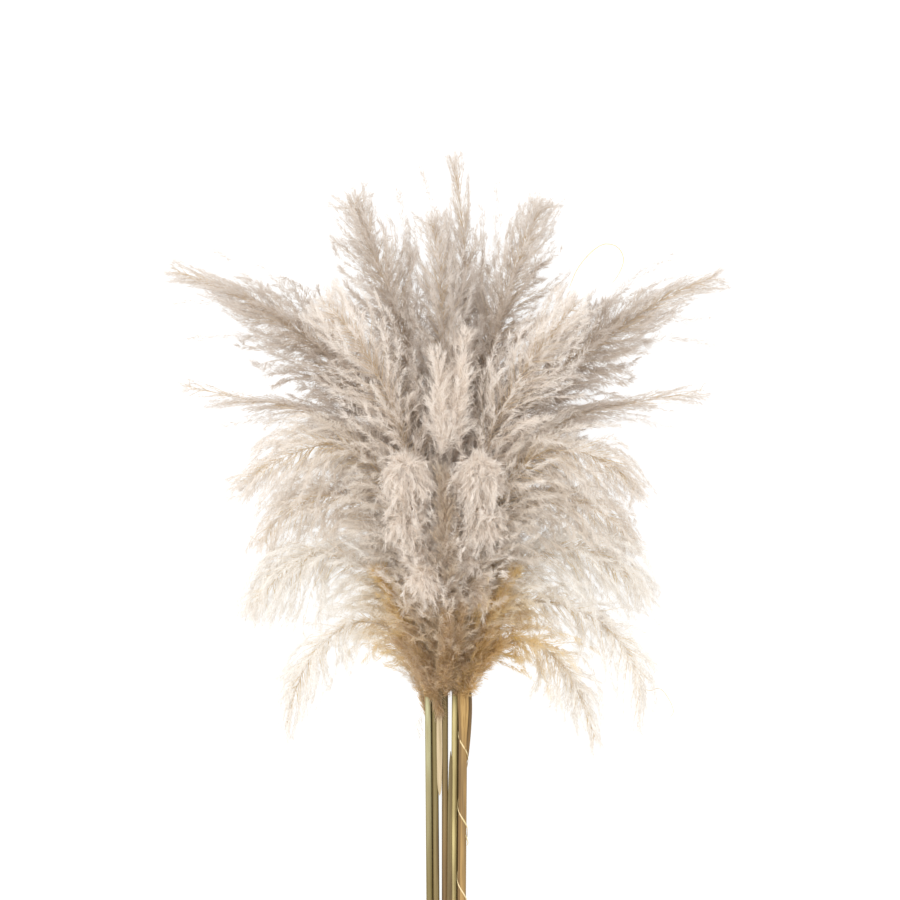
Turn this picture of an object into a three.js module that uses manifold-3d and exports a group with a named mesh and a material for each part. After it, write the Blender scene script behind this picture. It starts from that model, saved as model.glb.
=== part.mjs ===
// A bunch of dried pampas grass, cut and laid down on a table, in millimetres, +Z up.
// Each reed is two solids: a pale stem and, where it ends, the plume that grew on it.
// +Y runs from the cut ends to the tips. The origin is on the table under the middle stem, at the bunch's neck.
import * as THREE from 'three';
import { mergeVertices } from 'three/addons/utils/BufferGeometryUtils.js';
import Module from 'manifold-3d';

const wasm = await Module();
wasm.setup();

// Driving dimensions
const TOUCH_GAP = 0.3; // between pieces that touch
const STEM_FLAT = 3.25; // from a stem's axis to the middle of one of its eight flats
const STEM_SIDES = 8;
const ROW_RISE = 2 * STEM_FLAT + TOUCH_GAP; // stems lie flat on flat
const COLUMNS = [-17, -10.2, 0, 10, 17]; // where each pile of stems stands across the bunch, at the neck
const COLUMN_CLOSING = [3.4, 3.4, 0, -3.2, -3.4]; // how far each has moved over at the cut ends
const CUT_END_Y = -455; // about where the stems were cut
const CUT_SPREAD = 9; // how far their cut ends lie before or behind each other
const SHEATHED_FLAT = 4; // the one stem that still wears its leaf sheath
const SHEATHED_SHIFT = new THREE.Vector2(1.5, 2.6); // it is pushed aside and up by the strand wound round it
const STRAND_RADIUS = 0.5;
const STRAND_PITCH = 72; // one turn along the sheathed stem
const STRAND_TURNS = 5;
const STRAND_START_Y = -40;
const STRAND_FRONT_Y = -54; // where it first crosses the front
const STRAND_HASTE = 0.5; // it crosses the front more steeply than the back, by this much of a wave
const STRAND_STEPS = 16; // in one turn
const LEAD_IN = 6; // a plume's first stretch, straight on from the stem
const CORE_BASE = 2.6; // radius of a plume's stalk where it leaves the stem
const CORE_SHARE = 0.2; // radius of a plume's core as a share of the plume's own
const CORE_TIP = 1.1;
const CORE_SWELL = [55, 190]; // the core swells from the first length to the second, along the plume
const CORE_SIDES = 5;
const CORE_RING_SPACING = 48;
const BRANCH_SPACING = 13; // from one branch to the next, along the plume
const BRANCH_SIDES = 3;
const BRANCH_REACH = 1.7; // a branch's longest run along the plume, as a share of the plume's half width
const BRANCH_GIRTH = 0.075; // its radius at its fullest, as a share of its length
const BRANCH_THINNEST = 0.9;
const BRANCH_FIRST = 12; // the first branch, along the plume
const BRANCH_TRIES = 30; // directions tried for each branch before it is left out
const BRANCH_STEPS = 6; // stretches of a branch that are tested against other plumes
const CLEAR_GAP = 0.45; // kept between a branch and any other plume or stem
const FLATTENING = 0.85; // a plume's depth as a share of its width, because its weight presses it flat
const NECK_HOLD = [8, 105]; // plumes are pressed together up to the first length and free from the second
const TIP_LENGTH = 0.2; // the share of its length over which a plume narrows to its tip
const GOLDEN_TURN = Math.PI * (3 - Math.sqrt(5));

// The reeds of the bunch. seat is the stem's column, from the left, and its row, from the table. start is the Y
// where the plume begins, width is the plume's half width, and hang leans its branches back to the cut ends.
// end is the form of its tip, and path is the plume's line after the stem, tip last.
const REEDS = [
  { name: 'trailing_left', seat: [0, 0], start: -34, width: 29, hang: 0.6, tone: 'cream', end: 'drawn',
    path: [[-29, 20, 6], [-53, 60, 17], [-89, 68, 22], [-127, 42, 20], [-149, 0, 17], [-162, -48, 15]] },
  { name: 'low_left', seat: [0, 1], start: -8, width: 44, hang: 0.55, tone: 'cream', end: 'soft',
    path: [[-38, 70, 19], [-74, 122, 30], [-125, 138, 29], [-169, 112, 23], [-193, 76, 17]] },
  { name: 'side_left', seat: [0, 2], start: -8, width: 39, hang: 0.45, tone: 'sand', end: 'soft',
    path: [[-32, 96, 34], [-63, 168, 51], [-109, 196, 52], [-157, 178, 38], [-187, 144, 24]] },
  { name: 'mid_left', seat: [0, 3], start: -10, width: 42, hang: 0.4, tone: 'sand', end: 'soft',
    path: [[-29, 118, 50], [-57, 208, 78], [-105, 244, 80], [-161, 232, 62], [-204, 202, 40]] },
  { name: 'far_left', seat: [1, 0], start: -4, width: 44, hang: 0.1, tone: 'taupe', end: 'drawn',
    path: [[-11, 110, 17], [-52, 250, 27], [-137, 350, 29], [-222, 402, 27], [-276, 421, 24]] },
  { name: 'left', seat: [1, 1], start: -6, width: 40, hang: 0.2, tone: 'taupe', end: 'whip',
    path: [[-20, 120, 32], [-71, 238, 51], [-133, 278, 50], [-205, 292, 38], [-264, 305, 25]] },
  { name: 'upper_left', seat: [1, 2], start: -5, width: 39, hang: 0, tone: 'taupe', end: 'blunt',
    path: [[-13, 120, 43], [-26, 265, 56], [-46, 365, 56], [-70, 435, 50], [-94, 494, 44]] },
  { name: 'broad_left', seat: [1, 3], start: -6, width: 44, hang: 0, tone: 'pale', end: 'blunt',
    path: [[-14, 104, 57], [-29, 205, 84], [-57, 295, 93], [-89, 352, 89], [-125, 392, 80]] },
  { name: 'centre', seat: [2, 0], start: 14, width: 36, hang: 0, tone: 'taupe', end: 'drawn',
    path: [[5, 120, 14], [12, 230, 24], [18, 350, 28], [19, 440, 27], [13, 500, 25], [8, 537, 23]] },
  { name: 'front_centre', seat: [2, 1], start: 8, width: 42, hang: 0, tone: 'taupe', end: 'soft',
    path: [[1, 110, 33], [3, 240, 66], [0, 340, 76], [-6, 420, 68], [-13, 474, 60]] },
  { name: 'tuft_left', seat: [2, 2], start: 3, width: 37, hang: 0.15, tone: 'pale', end: 'blunt',
    path: [[-4, 62, 54], [-21, 122, 86], [-30, 178, 112], [-37, 226, 130]] },
  { name: 'tuft_centre', seat: [2, 3], start: 0, width: 30, hang: 0.2, tone: 'pale', end: 'blunt',
    path: [[-2, 42, 60], [-6, 80, 92], [-13, 116, 118]] },
  { name: 'far_right', seat: [3, 0], start: -5, width: 44, hang: 0.1, tone: 'taupe', end: 'drawn',
    path: [[20, 110, 18], [55, 240, 28], [103, 312, 30], [169, 358, 30], [233, 399, 27], [280, 414, 24]] },
  { name: 'upper_right', seat: [3, 1], start: -7, width: 38, hang: 0, tone: 'taupe', end: 'blunt',
    path: [[14, 120, 32], [31, 255, 52], [47, 345, 55], [67, 412, 50], [98, 490, 43]] },
  { name: 'broad_right', seat: [3, 2], start: -5, width: 44, hang: 0, tone: 'pale', end: 'blunt',
    path: [[15, 104, 50], [31, 212, 80], [63, 292, 92], [97, 345, 89], [133, 388, 80]] },
  { name: 'tuft_right', seat: [3, 3], start: -6, width: 37, hang: 0.15, tone: 'pale', end: 'blunt',
    path: [[15, 62, 62], [21, 122, 94], [28, 180, 119], [33, 226, 134]] },
  { name: 'low_right', seat: [4, 2], start: -3, width: 44, hang: 0.5, tone: 'cream', end: 'soft',
    path: [[38, 84, 27], [81, 132, 37], [131, 142, 39], [177, 120, 28], [201, 92, 20]] },
  { name: 'right', seat: [4, 3], start: -3, width: 40, hang: 0.2, tone: 'taupe', end: 'whip',
    path: [[27, 126, 38], [71, 232, 54], [129, 273, 52], [195, 288, 40], [264, 301, 26]] },
  { name: 'side_right', seat: [4, 4], start: -9, width: 39, hang: 0.45, tone: 'sand', end: 'soft',
    path: [[36, 104, 48], [63, 172, 66], [109, 194, 66], [158, 176, 47], [189, 144, 28]] },
  { name: 'mid_right', seat: [4, 5], start: -4, width: 42, hang: 0.4, tone: 'sand', end: 'soft', sheathed: true,
    path: [[31, 118, 65], [60, 206, 89], [106, 240, 88], [155, 230, 68], [196, 200, 44]] },
  { name: 'trailing_right', seat: [4, 0], start: -6, width: 29, hang: 0.6, tone: 'cream', end: 'drawn',
    path: [[38, 34, 9], [77, 50, 19], [113, 30, 20], [137, -10, 17], [152, -56, 15]] },
  { name: 'hanging_right', seat: [4, 1], start: -2, width: 29, hang: 0.5, tone: 'cream', end: 'drawn',
    path: [[37, 56, 15], [81, 88, 23], [139, 78, 24], [177, 44, 20], [193, 0, 16], [191, -46, 14]] },
];

const ENDS = { // where a plume begins to narrow, as a share of its length, and how full its tip still is
  blunt: { closing: 0.86, tip: 0.55 },
  soft: { closing: 0.84, tip: 0.4 },
  drawn: { closing: 0.76, tip: 0.25 },
  whip: { closing: 0.6, tip: 0.22 },
};

const TONES = { // sRGB colours of the plumes
  taupe: 0xc3b2a3,
  sand: 0xd3c5b4,
  pale: 0xd8ccc1,
  cream: 0xe6dbc8,
};
const COLUMN_TONES = [0xbab488, 0x8f7a52, 0xa89a78, 0xc4b583, 0x9a7a50]; // of the stems
const SHEATH_TONE = 0xb5854f;
const STRAND_TONE = 0xdfc9a0;

const dry = (color) => new THREE.MeshStandardMaterial({ color, roughness: 0.9, metalness: 0 });

// A stem's place across the bunch at the neck, and how far over it lies at the cut end.
function seatOf({ seat: [column, row], sheathed }) {
  const seat = new THREE.Vector2(COLUMNS[column], STEM_FLAT + row * ROW_RISE);
  return sheathed ? seat.add(SHEATHED_SHIFT) : seat;
}

// A plume's line. It leaves the stem straight, so a point before its start leads it in.
function plumeCurve(reed) {
  const seat = seatOf(reed);
  const straight = [-LEAD_IN, 0, LEAD_IN].map((along) => [seat.x, reed.start + along, seat.y]);
  const points = [...straight, ...reed.path].map((p) => new THREE.Vector3(...p));
  return new ArcOf(new THREE.CatmullRomCurve3(points, false, 'centripetal'), 1 / (points.length - 1));
}

// The stretch of a curve after a share of its own parameter, as a curve with its own lengths.
class ArcOf extends THREE.Curve {
  constructor(whole, from) {
    super();
    this.whole = whole;
    this.from = from;
  }
  getPoint(t, target = new THREE.Vector3()) {
    return this.whole.getPoint(this.from + t * (1 - this.from), target);
  }
}

// Sideways and upward directions square to a curve's tangent, the second as near to +Z as it can be.
function crossFrame(tangent) {
  const side = new THREE.Vector3().crossVectors(tangent, new THREE.Vector3(0, 0, 1)).normalize();
  return { side, up: new THREE.Vector3().crossVectors(side, tangent) };
}

// Bends a shape that was turned round the Y axis so that Y from 0 to the curve's length follows the curve.
function bendAlong(geometry, curve) {
  const length = curve.getLength();
  const at = geometry.getAttribute('position');
  for (let i = 0; i < at.count; i++) {
    const u = THREE.MathUtils.clamp(at.getY(i) / length, 0, 1);
    const { side, up } = crossFrame(curve.getTangentAt(u));
    const p = curve.getPointAt(u).addScaledVector(side, at.getX(i)).addScaledVector(up, at.getZ(i));
    at.setXYZ(i, p.x, p.y, p.z);
  }
  return geometry;
}

// A closed three.js shape as a manifold-3d solid.
function solidOf(geometry) {
  const bare = geometry.clone();
  bare.deleteAttribute('normal');
  bare.deleteAttribute('uv');
  const merged = mergeVertices(bare, 1e-4);
  return new wasm.Manifold(new wasm.Mesh({
    numProp: 3,
    vertProperties: new Float32Array(merged.getAttribute('position').array),
    triVerts: new Uint32Array(merged.index.array),
  }));
}

function geometryOf(solid) {
  const mesh = solid.getMesh();
  const geometry = new THREE.BufferGeometry();
  geometry.setAttribute('position', new THREE.BufferAttribute(new Float32Array(mesh.vertProperties), 3));
  geometry.setIndex(new THREE.BufferAttribute(new Uint32Array(mesh.triVerts), 1));
  geometry.computeVertexNormals();
  return geometry;
}

// Everything below the table top, to press flat what lies on it.
function belowTable() {
  const size = 2000;
  return solidOf(new THREE.BoxGeometry(size, size, size).translate(0, 0, -size / 2));
}

// How full a plume is at a share u of its length: held tight at the neck, full in the middle, narrower at its tip.
function fullness({ reed, length }, u) {
  const { closing, tip } = ENDS[reed.end];
  const opening = THREE.MathUtils.smoothstep(u, -0.08, 0.42) * THREE.MathUtils.smoothstep(u * length, ...NECK_HOLD);
  return opening * (1 - (1 - tip) * THREE.MathUtils.smoothstep(u, closing, closing + TIP_LENGTH));
}

function coreRadius(reed, along, length) {
  const full = reed.width * CORE_SHARE;
  const swell = THREE.MathUtils.smoothstep(along, CORE_SWELL[0], Math.min(CORE_SWELL[1], length * 0.55));
  const taper = 1 - THREE.MathUtils.smoothstep(along / length, 0.5, 1);
  return THREE.MathUtils.lerp(CORE_TIP, THREE.MathUtils.lerp(CORE_BASE, full, swell), taper);
}

function coreRings(length) {
  return Math.round(length / CORE_RING_SPACING);
}

function coreGeometry({ reed, curve, length }) {
  const profile = [new THREE.Vector2(0, 0)];
  const rings = coreRings(length);
  for (let i = 0; i <= rings; i++) {
    const along = (i / rings) * length;
    profile.push(new THREE.Vector2(coreRadius(reed, along, length), along));
  }
  profile.push(new THREE.Vector2(0, length));
  return bendAlong(new THREE.LatheGeometry(profile, CORE_SIDES), curve);
}

// Repeatable numbers from 0 to 1, the same on every run.
function seededRandom(seed) {
  let state = seed;
  return () => {
    state = (state + 0x6d2b79f5) | 0;
    let t = Math.imul(state ^ (state >>> 15), 1 | state);
    t = (t + Math.imul(t ^ (t >>> 7), 61 | t)) ^ t;
    return ((t ^ (t >>> 14)) >>> 0) / 4294967296;
  };
}

// A branch's line: it leaves the plume's axis at `along`, and its tip lies on the plume's outline, further on.
function branchCurve(plume, along, turn, stretch) {
  const { reed, curve, length } = plume;
  const run = Math.min(BRANCH_REACH * reed.width * stretch, (length - along) * 0.97);
  const pointAt = (share, spread) => {
    const u = Math.min((along + run * share) / length, 1);
    const { side, up } = crossFrame(curve.getTangentAt(u));
    const out = spread * reed.width * fullness(plume, u) * stretch;
    return curve.getPointAt(u)
      .addScaledVector(side, Math.cos(turn) * out)
      .addScaledVector(up, Math.sin(turn) * out * FLATTENING)
      .add(new THREE.Vector3(0, -reed.hang * run * share * share * 0.55, 0));
  };
  return new THREE.QuadraticBezierCurve3(curve.getPointAt(along / length), pointAt(0.5, 0.62), pointAt(1, 1));
}

function branchGeometry(line, radius) {
  const length = line.getLength();
  const profile = [[0, 0], [radius, length / 2], [0, length]].map((p) => new THREE.Vector2(...p));
  return bendAlong(new THREE.LatheGeometry(profile, BRANCH_SIDES), line);
}

// The shortest distance between two straight stretches.
function stretchDistance(a0, a1, b0, b1) {
  const u = a1.clone().sub(a0), v = b1.clone().sub(b0), w = a0.clone().sub(b0);
  const uu = u.dot(u), uv = u.dot(v), vv = v.dot(v), uw = u.dot(w), vw = v.dot(w);
  const clamp = (x) => THREE.MathUtils.clamp(x, 0, 1);
  const det = uu * vv - uv * uv;
  let s = det > 1e-9 ? clamp((uv * vw - vv * uw) / det) : 0;
  const t = clamp((uv * s + vw) / Math.max(vv, 1e-9));
  s = clamp((uv * t - uw) / Math.max(uu, 1e-9));
  return u.multiplyScalar(s).add(w).distanceTo(v.multiplyScalar(t));
}

// A line with a radius as a chain of straight stretches, each with a box to pass over it quickly.
function chainOf(owner, line, count, radiusAt) {
  const points = line.getSpacedPoints(count);
  return points.slice(1).map((end, i) => {
    const radius = Math.max(radiusAt(i / count), radiusAt((i + 1) / count));
    const box = new THREE.Box3().setFromPoints([points[i], end]).expandByScalar(radius + CLEAR_GAP);
    return { owner, start: points[i], end, radius, box };
  });
}

function isClear(chain, taken) {
  return chain.every((a) => taken.every((b) => a.owner === b.owner || !a.box.intersectsBox(b.box)
    || stretchDistance(a.start, a.end, b.start, b.end) > a.radius + b.radius + CLEAR_GAP));
}

// A plume's branches, placed up its axis by the golden turn. Each is turned on until it is clear of the others.
function growBranches(plume, taken, seed) {
  const random = seededRandom(seed);
  const { reed, length } = plume;
  const branches = [];
  const wanted = Math.round(length / BRANCH_SPACING);
  for (let i = 0; i < wanted; i++) {
    const share = (i + random() * 0.6) / wanted;
    const along = BRANCH_FIRST + (length * 0.9 - BRANCH_FIRST) * share;
    const firstTurn = i * GOLDEN_TURN;
    const stretch = 0.86 + 0.28 * random();
    for (let tried = 0; tried < BRANCH_TRIES; tried++) {
      const shorter = stretch * (1 - 0.5 * (tried / BRANCH_TRIES));
      const line = branchCurve(plume, along, firstTurn + tried * GOLDEN_TURN * 0.35, shorter);
      const radius = Math.max(BRANCH_THINNEST, BRANCH_GIRTH * line.getLength());
      const chain = chainOf(reed.name, line, BRANCH_STEPS, (u) => radius * (1 - Math.abs(2 * u - 1) * 0.9));
      if (isClear(chain, taken)) {
        taken.push(...chain);
        branches.push(branchGeometry(line, radius));
        break;
      }
    }
  }
  return branches;
}

function plumeMesh(plume, branches) {
  const whole = branches.reduce((joined, branch) => joined.add(solidOf(branch)), solidOf(coreGeometry(plume)));
  const pressed = whole.subtract(TABLE);
  const body = pressed.decompose().reduce((a, b) => (a.volume() > b.volume() ? a : b));
  const mesh = new THREE.Mesh(geometryOf(body), dry(TONES[plume.reed.tone]));
  mesh.name = 'plume_' + plume.reed.name;
  return mesh;
}

// From a stem's axis to one of its corners.
function stemCorner(reed) {
  return (reed.sheathed ? SHEATHED_FLAT : STEM_FLAT) / Math.cos(Math.PI / STEM_SIDES);
}

// A stem's line, straight along the table from its cut end to where its plume begins.
function stemCurve(reed, index) {
  const seat = seatOf(reed);
  const closing = COLUMN_CLOSING[reed.seat[0]];
  const cutEnd = CUT_END_Y + CUT_SPREAD * Math.sin(index * 2.4);
  return new THREE.LineCurve3(
    new THREE.Vector3(seat.x + closing, cutEnd, seat.y),
    new THREE.Vector3(seat.x, reed.start - TOUCH_GAP, seat.y),
  );
}

function stemMesh(reed, index) {
  const line = stemCurve(reed, index);
  const length = line.getLength();
  const corner = stemCorner(reed);
  const profile = [[0, 0], [corner, 0], [corner, length], [0, length]].map((p) => new THREE.Vector2(...p));
  const solid = solidOf(bendAlong(new THREE.LatheGeometry(profile, STEM_SIDES, Math.PI / STEM_SIDES), line));
  const mesh = new THREE.Mesh(geometryOf(solid), dry(reed.sheathed ? SHEATH_TONE : COLUMN_TONES[reed.seat[0]]));
  mesh.name = 'stem_' + reed.name;
  return mesh;
}

// The strand's line: a long helix round the sheathed stem.
class StrandCurve extends THREE.Curve {
  constructor(stem, radius) {
    super();
    this.stem = stem;
    this.radius = radius;
  }
  getPoint(t, target = new THREE.Vector3()) {
    const y = STRAND_START_Y - t * STRAND_TURNS * STRAND_PITCH;
    const even = ((STRAND_FRONT_Y - y) / STRAND_PITCH) * 2 * Math.PI;
    const turn = even + STRAND_HASTE * Math.sin(even);
    const axis = this.stem.getPoint((y - this.stem.v1.y) / (this.stem.v2.y - this.stem.v1.y));
    return target.set(axis.x + this.radius * Math.sin(turn), y, axis.z + this.radius * Math.cos(turn));
  }
}

function strandMesh(reed, index) {
  const clear = stemCorner(reed) + TOUCH_GAP + STRAND_RADIUS;
  const extrudePath = new StrandCurve(stemCurve(reed, index), clear);
  const section = new THREE.Shape(new THREE.EllipseCurve(0, 0, STRAND_RADIUS, STRAND_RADIUS).getPoints(4));
  const steps = Math.round(STRAND_TURNS * STRAND_STEPS);
  const solid = solidOf(new THREE.ExtrudeGeometry(section, { extrudePath, steps, bevelEnabled: false }));
  const mesh = new THREE.Mesh(geometryOf(solid), dry(STRAND_TONE));
  mesh.name = 'strand';
  return mesh;
}

const TABLE = belowTable();
const bunch = new THREE.Group();
const plumes = REEDS.map((reed) => {
  const curve = plumeCurve(reed);
  return { reed, curve, length: curve.getLength() };
});

// Every core and stem takes its room first, then the branches fill what is left.
const taken = [];
for (const plume of plumes) {
  const { reed, curve, length } = plume;
  taken.push(...chainOf(reed.name, curve, coreRings(length) * 3, (u) => coreRadius(reed, u * length, length)));
}
REEDS.forEach((reed, index) => {
  taken.push(...chainOf('stem_' + reed.name, stemCurve(reed, index), 4, () => stemCorner(reed)));
});

plumes.forEach((plume, index) => bunch.add(plumeMesh(plume, growBranches(plume, taken, index + 1))));
REEDS.forEach((reed, index) => bunch.add(stemMesh(reed, index)));
const sheathed = REEDS.findIndex((reed) => reed.sheathed);
bunch.add(strandMesh(REEDS[sheathed], sheathed));

export default bunch;
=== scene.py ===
# A bunch of dried pampas grass, cut and laid down on a table: silky plumes, stalks, a leaf sheath and a strand.
import math
from typing import NamedTuple

import bpy
import numpy as np
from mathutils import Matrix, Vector


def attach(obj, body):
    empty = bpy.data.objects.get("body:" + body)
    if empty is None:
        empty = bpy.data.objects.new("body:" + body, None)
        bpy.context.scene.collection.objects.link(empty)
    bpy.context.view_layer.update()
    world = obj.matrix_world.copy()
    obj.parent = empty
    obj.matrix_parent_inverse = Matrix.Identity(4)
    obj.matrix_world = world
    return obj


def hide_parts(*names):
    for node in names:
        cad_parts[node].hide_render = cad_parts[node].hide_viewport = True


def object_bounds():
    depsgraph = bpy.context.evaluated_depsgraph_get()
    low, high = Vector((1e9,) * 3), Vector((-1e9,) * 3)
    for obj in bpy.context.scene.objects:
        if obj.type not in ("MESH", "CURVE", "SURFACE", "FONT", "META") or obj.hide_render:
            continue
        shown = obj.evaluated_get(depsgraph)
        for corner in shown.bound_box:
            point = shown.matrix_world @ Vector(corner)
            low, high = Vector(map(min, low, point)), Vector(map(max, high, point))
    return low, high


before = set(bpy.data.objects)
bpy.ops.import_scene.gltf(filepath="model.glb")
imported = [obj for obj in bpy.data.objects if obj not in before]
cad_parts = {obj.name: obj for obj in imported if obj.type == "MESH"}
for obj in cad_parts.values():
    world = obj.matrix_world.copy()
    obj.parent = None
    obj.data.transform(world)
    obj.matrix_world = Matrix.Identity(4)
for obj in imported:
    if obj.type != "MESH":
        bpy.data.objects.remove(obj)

CAD_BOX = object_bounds()  # the solids' lowest and highest corners

bl_info = {
    "name": "Pampas Bunch",
    "version": (1, 0, 0),
    "blender": (4, 5, 0),
    "location": "View3D > Sidebar > Pampas",
    "description": "A lying bunch of dried pampas grass, hair by hair",
    "category": "Add Mesh",
}

MM = 0.001
BODY = "root"
SILK_MAP = "OFBake"  # u runs up the plume and v from a hair's root to its tip

# How the stems are stacked, in millimetres.
STEM_FLAT = 3.25  # the height of the lowest stems' middles
ROW_RISE = 6.8
COLUMNS = (-17, -10.2, 0, 10, 17)  # the piles at the neck, from the left
COLUMN_CLOSING = (3.4, 3.4, 0, -3.2, -3.4)  # how far each pile has moved over at its cut end
CUT_END_Y = -455
CUT_SPREAD = 9
CUT_TURN = 2.4  # radians of the wave that the cut ends follow, from one reed to the next
SHEATHED_SHIFT = (1.5, 2.6)  # of the sheathed stem, to the right and up from its row
LEAD_IN = 6  # a plume's line is straight so far on both sides of its start
STALK_OVERLAP = 4  # how far a stalk reaches into its plume

# The form of a plume. Shares are of its length.
NECK_HOLD = (8 * MM, 105 * MM)  # plumes are pressed together up to the first length and free from the second
NECK_FULLNESS = 0.13  # short hair covers the stalk there
OPENING = (-0.08, 0.42)  # the shares between which a plume opens
TIP_LENGTH = 0.2  # the share over which it narrows to its tip
FLATTENING = 0.85  # its depth as a share of its width
HANG_FREE = (50 * MM, 150 * MM)  # hair stands upright up to the first length and hangs fully from the second
TIP_THINNING = {"blunt": 0.2, "soft": 0.35, "drawn": 0.7, "whip": 0.85}  # how much hair is missing at the tip
THINNING_START = {"blunt": 0.75, "soft": 0.65, "drawn": 0.7, "whip": 0.46}  # the share from which it is missing
GOLDEN_TURN = math.pi * (3 - math.sqrt(5))

# The locks that a plume's hair grows on. Pairs are the least and the most that is drawn.
FULL_WIDTH = 35  # the half width that lock spacing is given for, in millimetres
CROWDING = {"taupe": 1.2, "pale": 0.84, "sand": 1.0, "cream": 1.0}  # how close together the locks grow
NECK_LOCKS = 7  # one lock in so many grows at the neck
NECK_SHARE = 0.12  # the share of the plume's length that these grow below
LAST_LOCK = 0.98  # the share at which the last lock grows
LOCK_RUN = 1.55  # how far the longest lock runs on, in half widths of its plume
LOCK_SIZES = (0.25, 1.0)  # as shares of the longest
LOCK_ROOM = (0.75, 1.03)  # a lock ends by this share of what is left of the plume
LOCK_SCATTER = 0.8  # radians round the plume's line
LOCK_HANG = 0.55  # a lock of a fully hanging plume sags by this share of its run
HANG_SIZES = (0.8, 1.3)
LOCK_WAVE = 0.5  # as a share of the wave setting
WAVE_PACE = (2.0, 5.0)  # radians from a lock's root to its tip
STRAY_SIZES = (1.2, 1.7)  # how much further a stray lock runs, and how thin and pale it is
STRAY_DENSITY = 0.5
STRAY_PALENESS = 0.1
TIP_FINENESS = 0.4  # how much thinner the locks are where a tip's hair is missing
TIP_PALENESS = 0.8  # and how much paler

# The locks of a mop. Shares are of its reach.
MOP_LOCKS = 150  # on a mop of the full reach
MOP_FULL_REACH = 24
MOP_GROWTH = 1.5  # the power of the reach that the number of locks grows by
MOP_SIZES = (0.4, 1.1)
MOP_FORWARD = 0.4  # the share that its middle lies up the bunch from its place on the plume's line
MOP_RAISED = 0.35  # and the share that it lies above it
MOP_ROOTS = 0.12  # the roots' scatter round that middle
MOP_SCATTER = 0.3  # radians
MOP_WAVE = 0.45  # as a share of the wave setting
MOP_PACE = 4.0  # radians from a lock's root to its tip
MOP_FULLNESS = 0.75  # which its hair's length and lean follow

# The locks of a wisp. Wisps that are coloured like the lower half of the plume are dense tufts.
DENSE_BELOW = 0.5
WISP_SPACING = 2.2 * MM  # of a thin wisp's line for each of its locks
TUFT_SPACING = 0.9 * MM  # the same for a dense tuft
WISP_DENSITY = 0.25
TUFT_DENSITY = 0.9
PALE_ABOVE = 0.4  # wisps that are coloured like a higher share are paler than the plume
WISP_PALENESS = 0.4
WISP_ROOTS = 0.85  # the share of a wisp's line that its locks leave
WISP_BIAS = 1.3  # over 1, more of them leave its lower end
WISP_RUN = (14, 34)  # the locks' lengths in millimetres
WISP_SIZES = (0.3, 1.7)  # how far they stand off its line
WISP_NARROWING = 0.4  # how much narrower its tip is

# The hair on a lock. Scatters are standard deviations, and sizes are shares of what the settings give.
TUFTS = 7  # it stands in so many tufts
FEWEST_HAIRS = 6
OUTWARD_BIAS = 0.65  # under 1, a lock carries more hair towards its tip
PLACE_SCATTER = 0.3  # of a hair from the middle of its tuft, in tufts
ROOT_SCATTER = 0.9 * MM
TURN_SCATTER = 0.7  # radians round the lock, within a tuft
OUTWARD_PULL = 0.3  # how much hair turns away from the plume's line
LEAN_SIZES = (0.4, 1.6)  # from tuft to tuft
LEAN_SCATTER = 0.4  # within a tuft
LEAN_RANGE = (0.05, 2.2)
HAIR_HANG = 0.5
TUFT_LENGTHS = (0.7, 1.3)
HAIR_LENGTHS = (0.6, 1.3)
TWIST_SCATTER = 0.75  # radians round the hair itself
HAIR_WIDTHS = (0.7, 1.2)
LOCK_TONE_SCATTER = 0.03  # in u, up or down the plume's colours
HAIR_TONE_SCATTER = 0.012
TUFT_PALENESS_SCATTER = 0.07  # in v, towards the pale tips or back

# What grows inside a plume, in millimetres.
GLUMES_UP_TO = 0.9  # the share of a lock that bears glumes
GLUME_LEAN = 0.5
GLUME_LENGTHS = (2.5, 4.5)
GLUME_HALF_WIDTHS = (0.3, 0.5)
RACHIS_UP_TO = 0.97  # the share of the plume's length
BRANCHLET_HALF_WIDTHS = (0.3, 0.1)  # at its root and at its tip


class Reed(NamedTuple):
    """One reed: its pile and row, where its plume begins, the plume's half width, how its hair hangs back, its tone,
    the form of its tip, its line after the stem, tip last, whether the stem wears the leaf sheath, and how much paler
    than its tone the plume is."""

    seat: tuple
    start: float
    width: float
    hang: float
    tone: str
    end: str
    path: tuple
    sheathed: bool = False
    pale: float = 0.0


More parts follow.
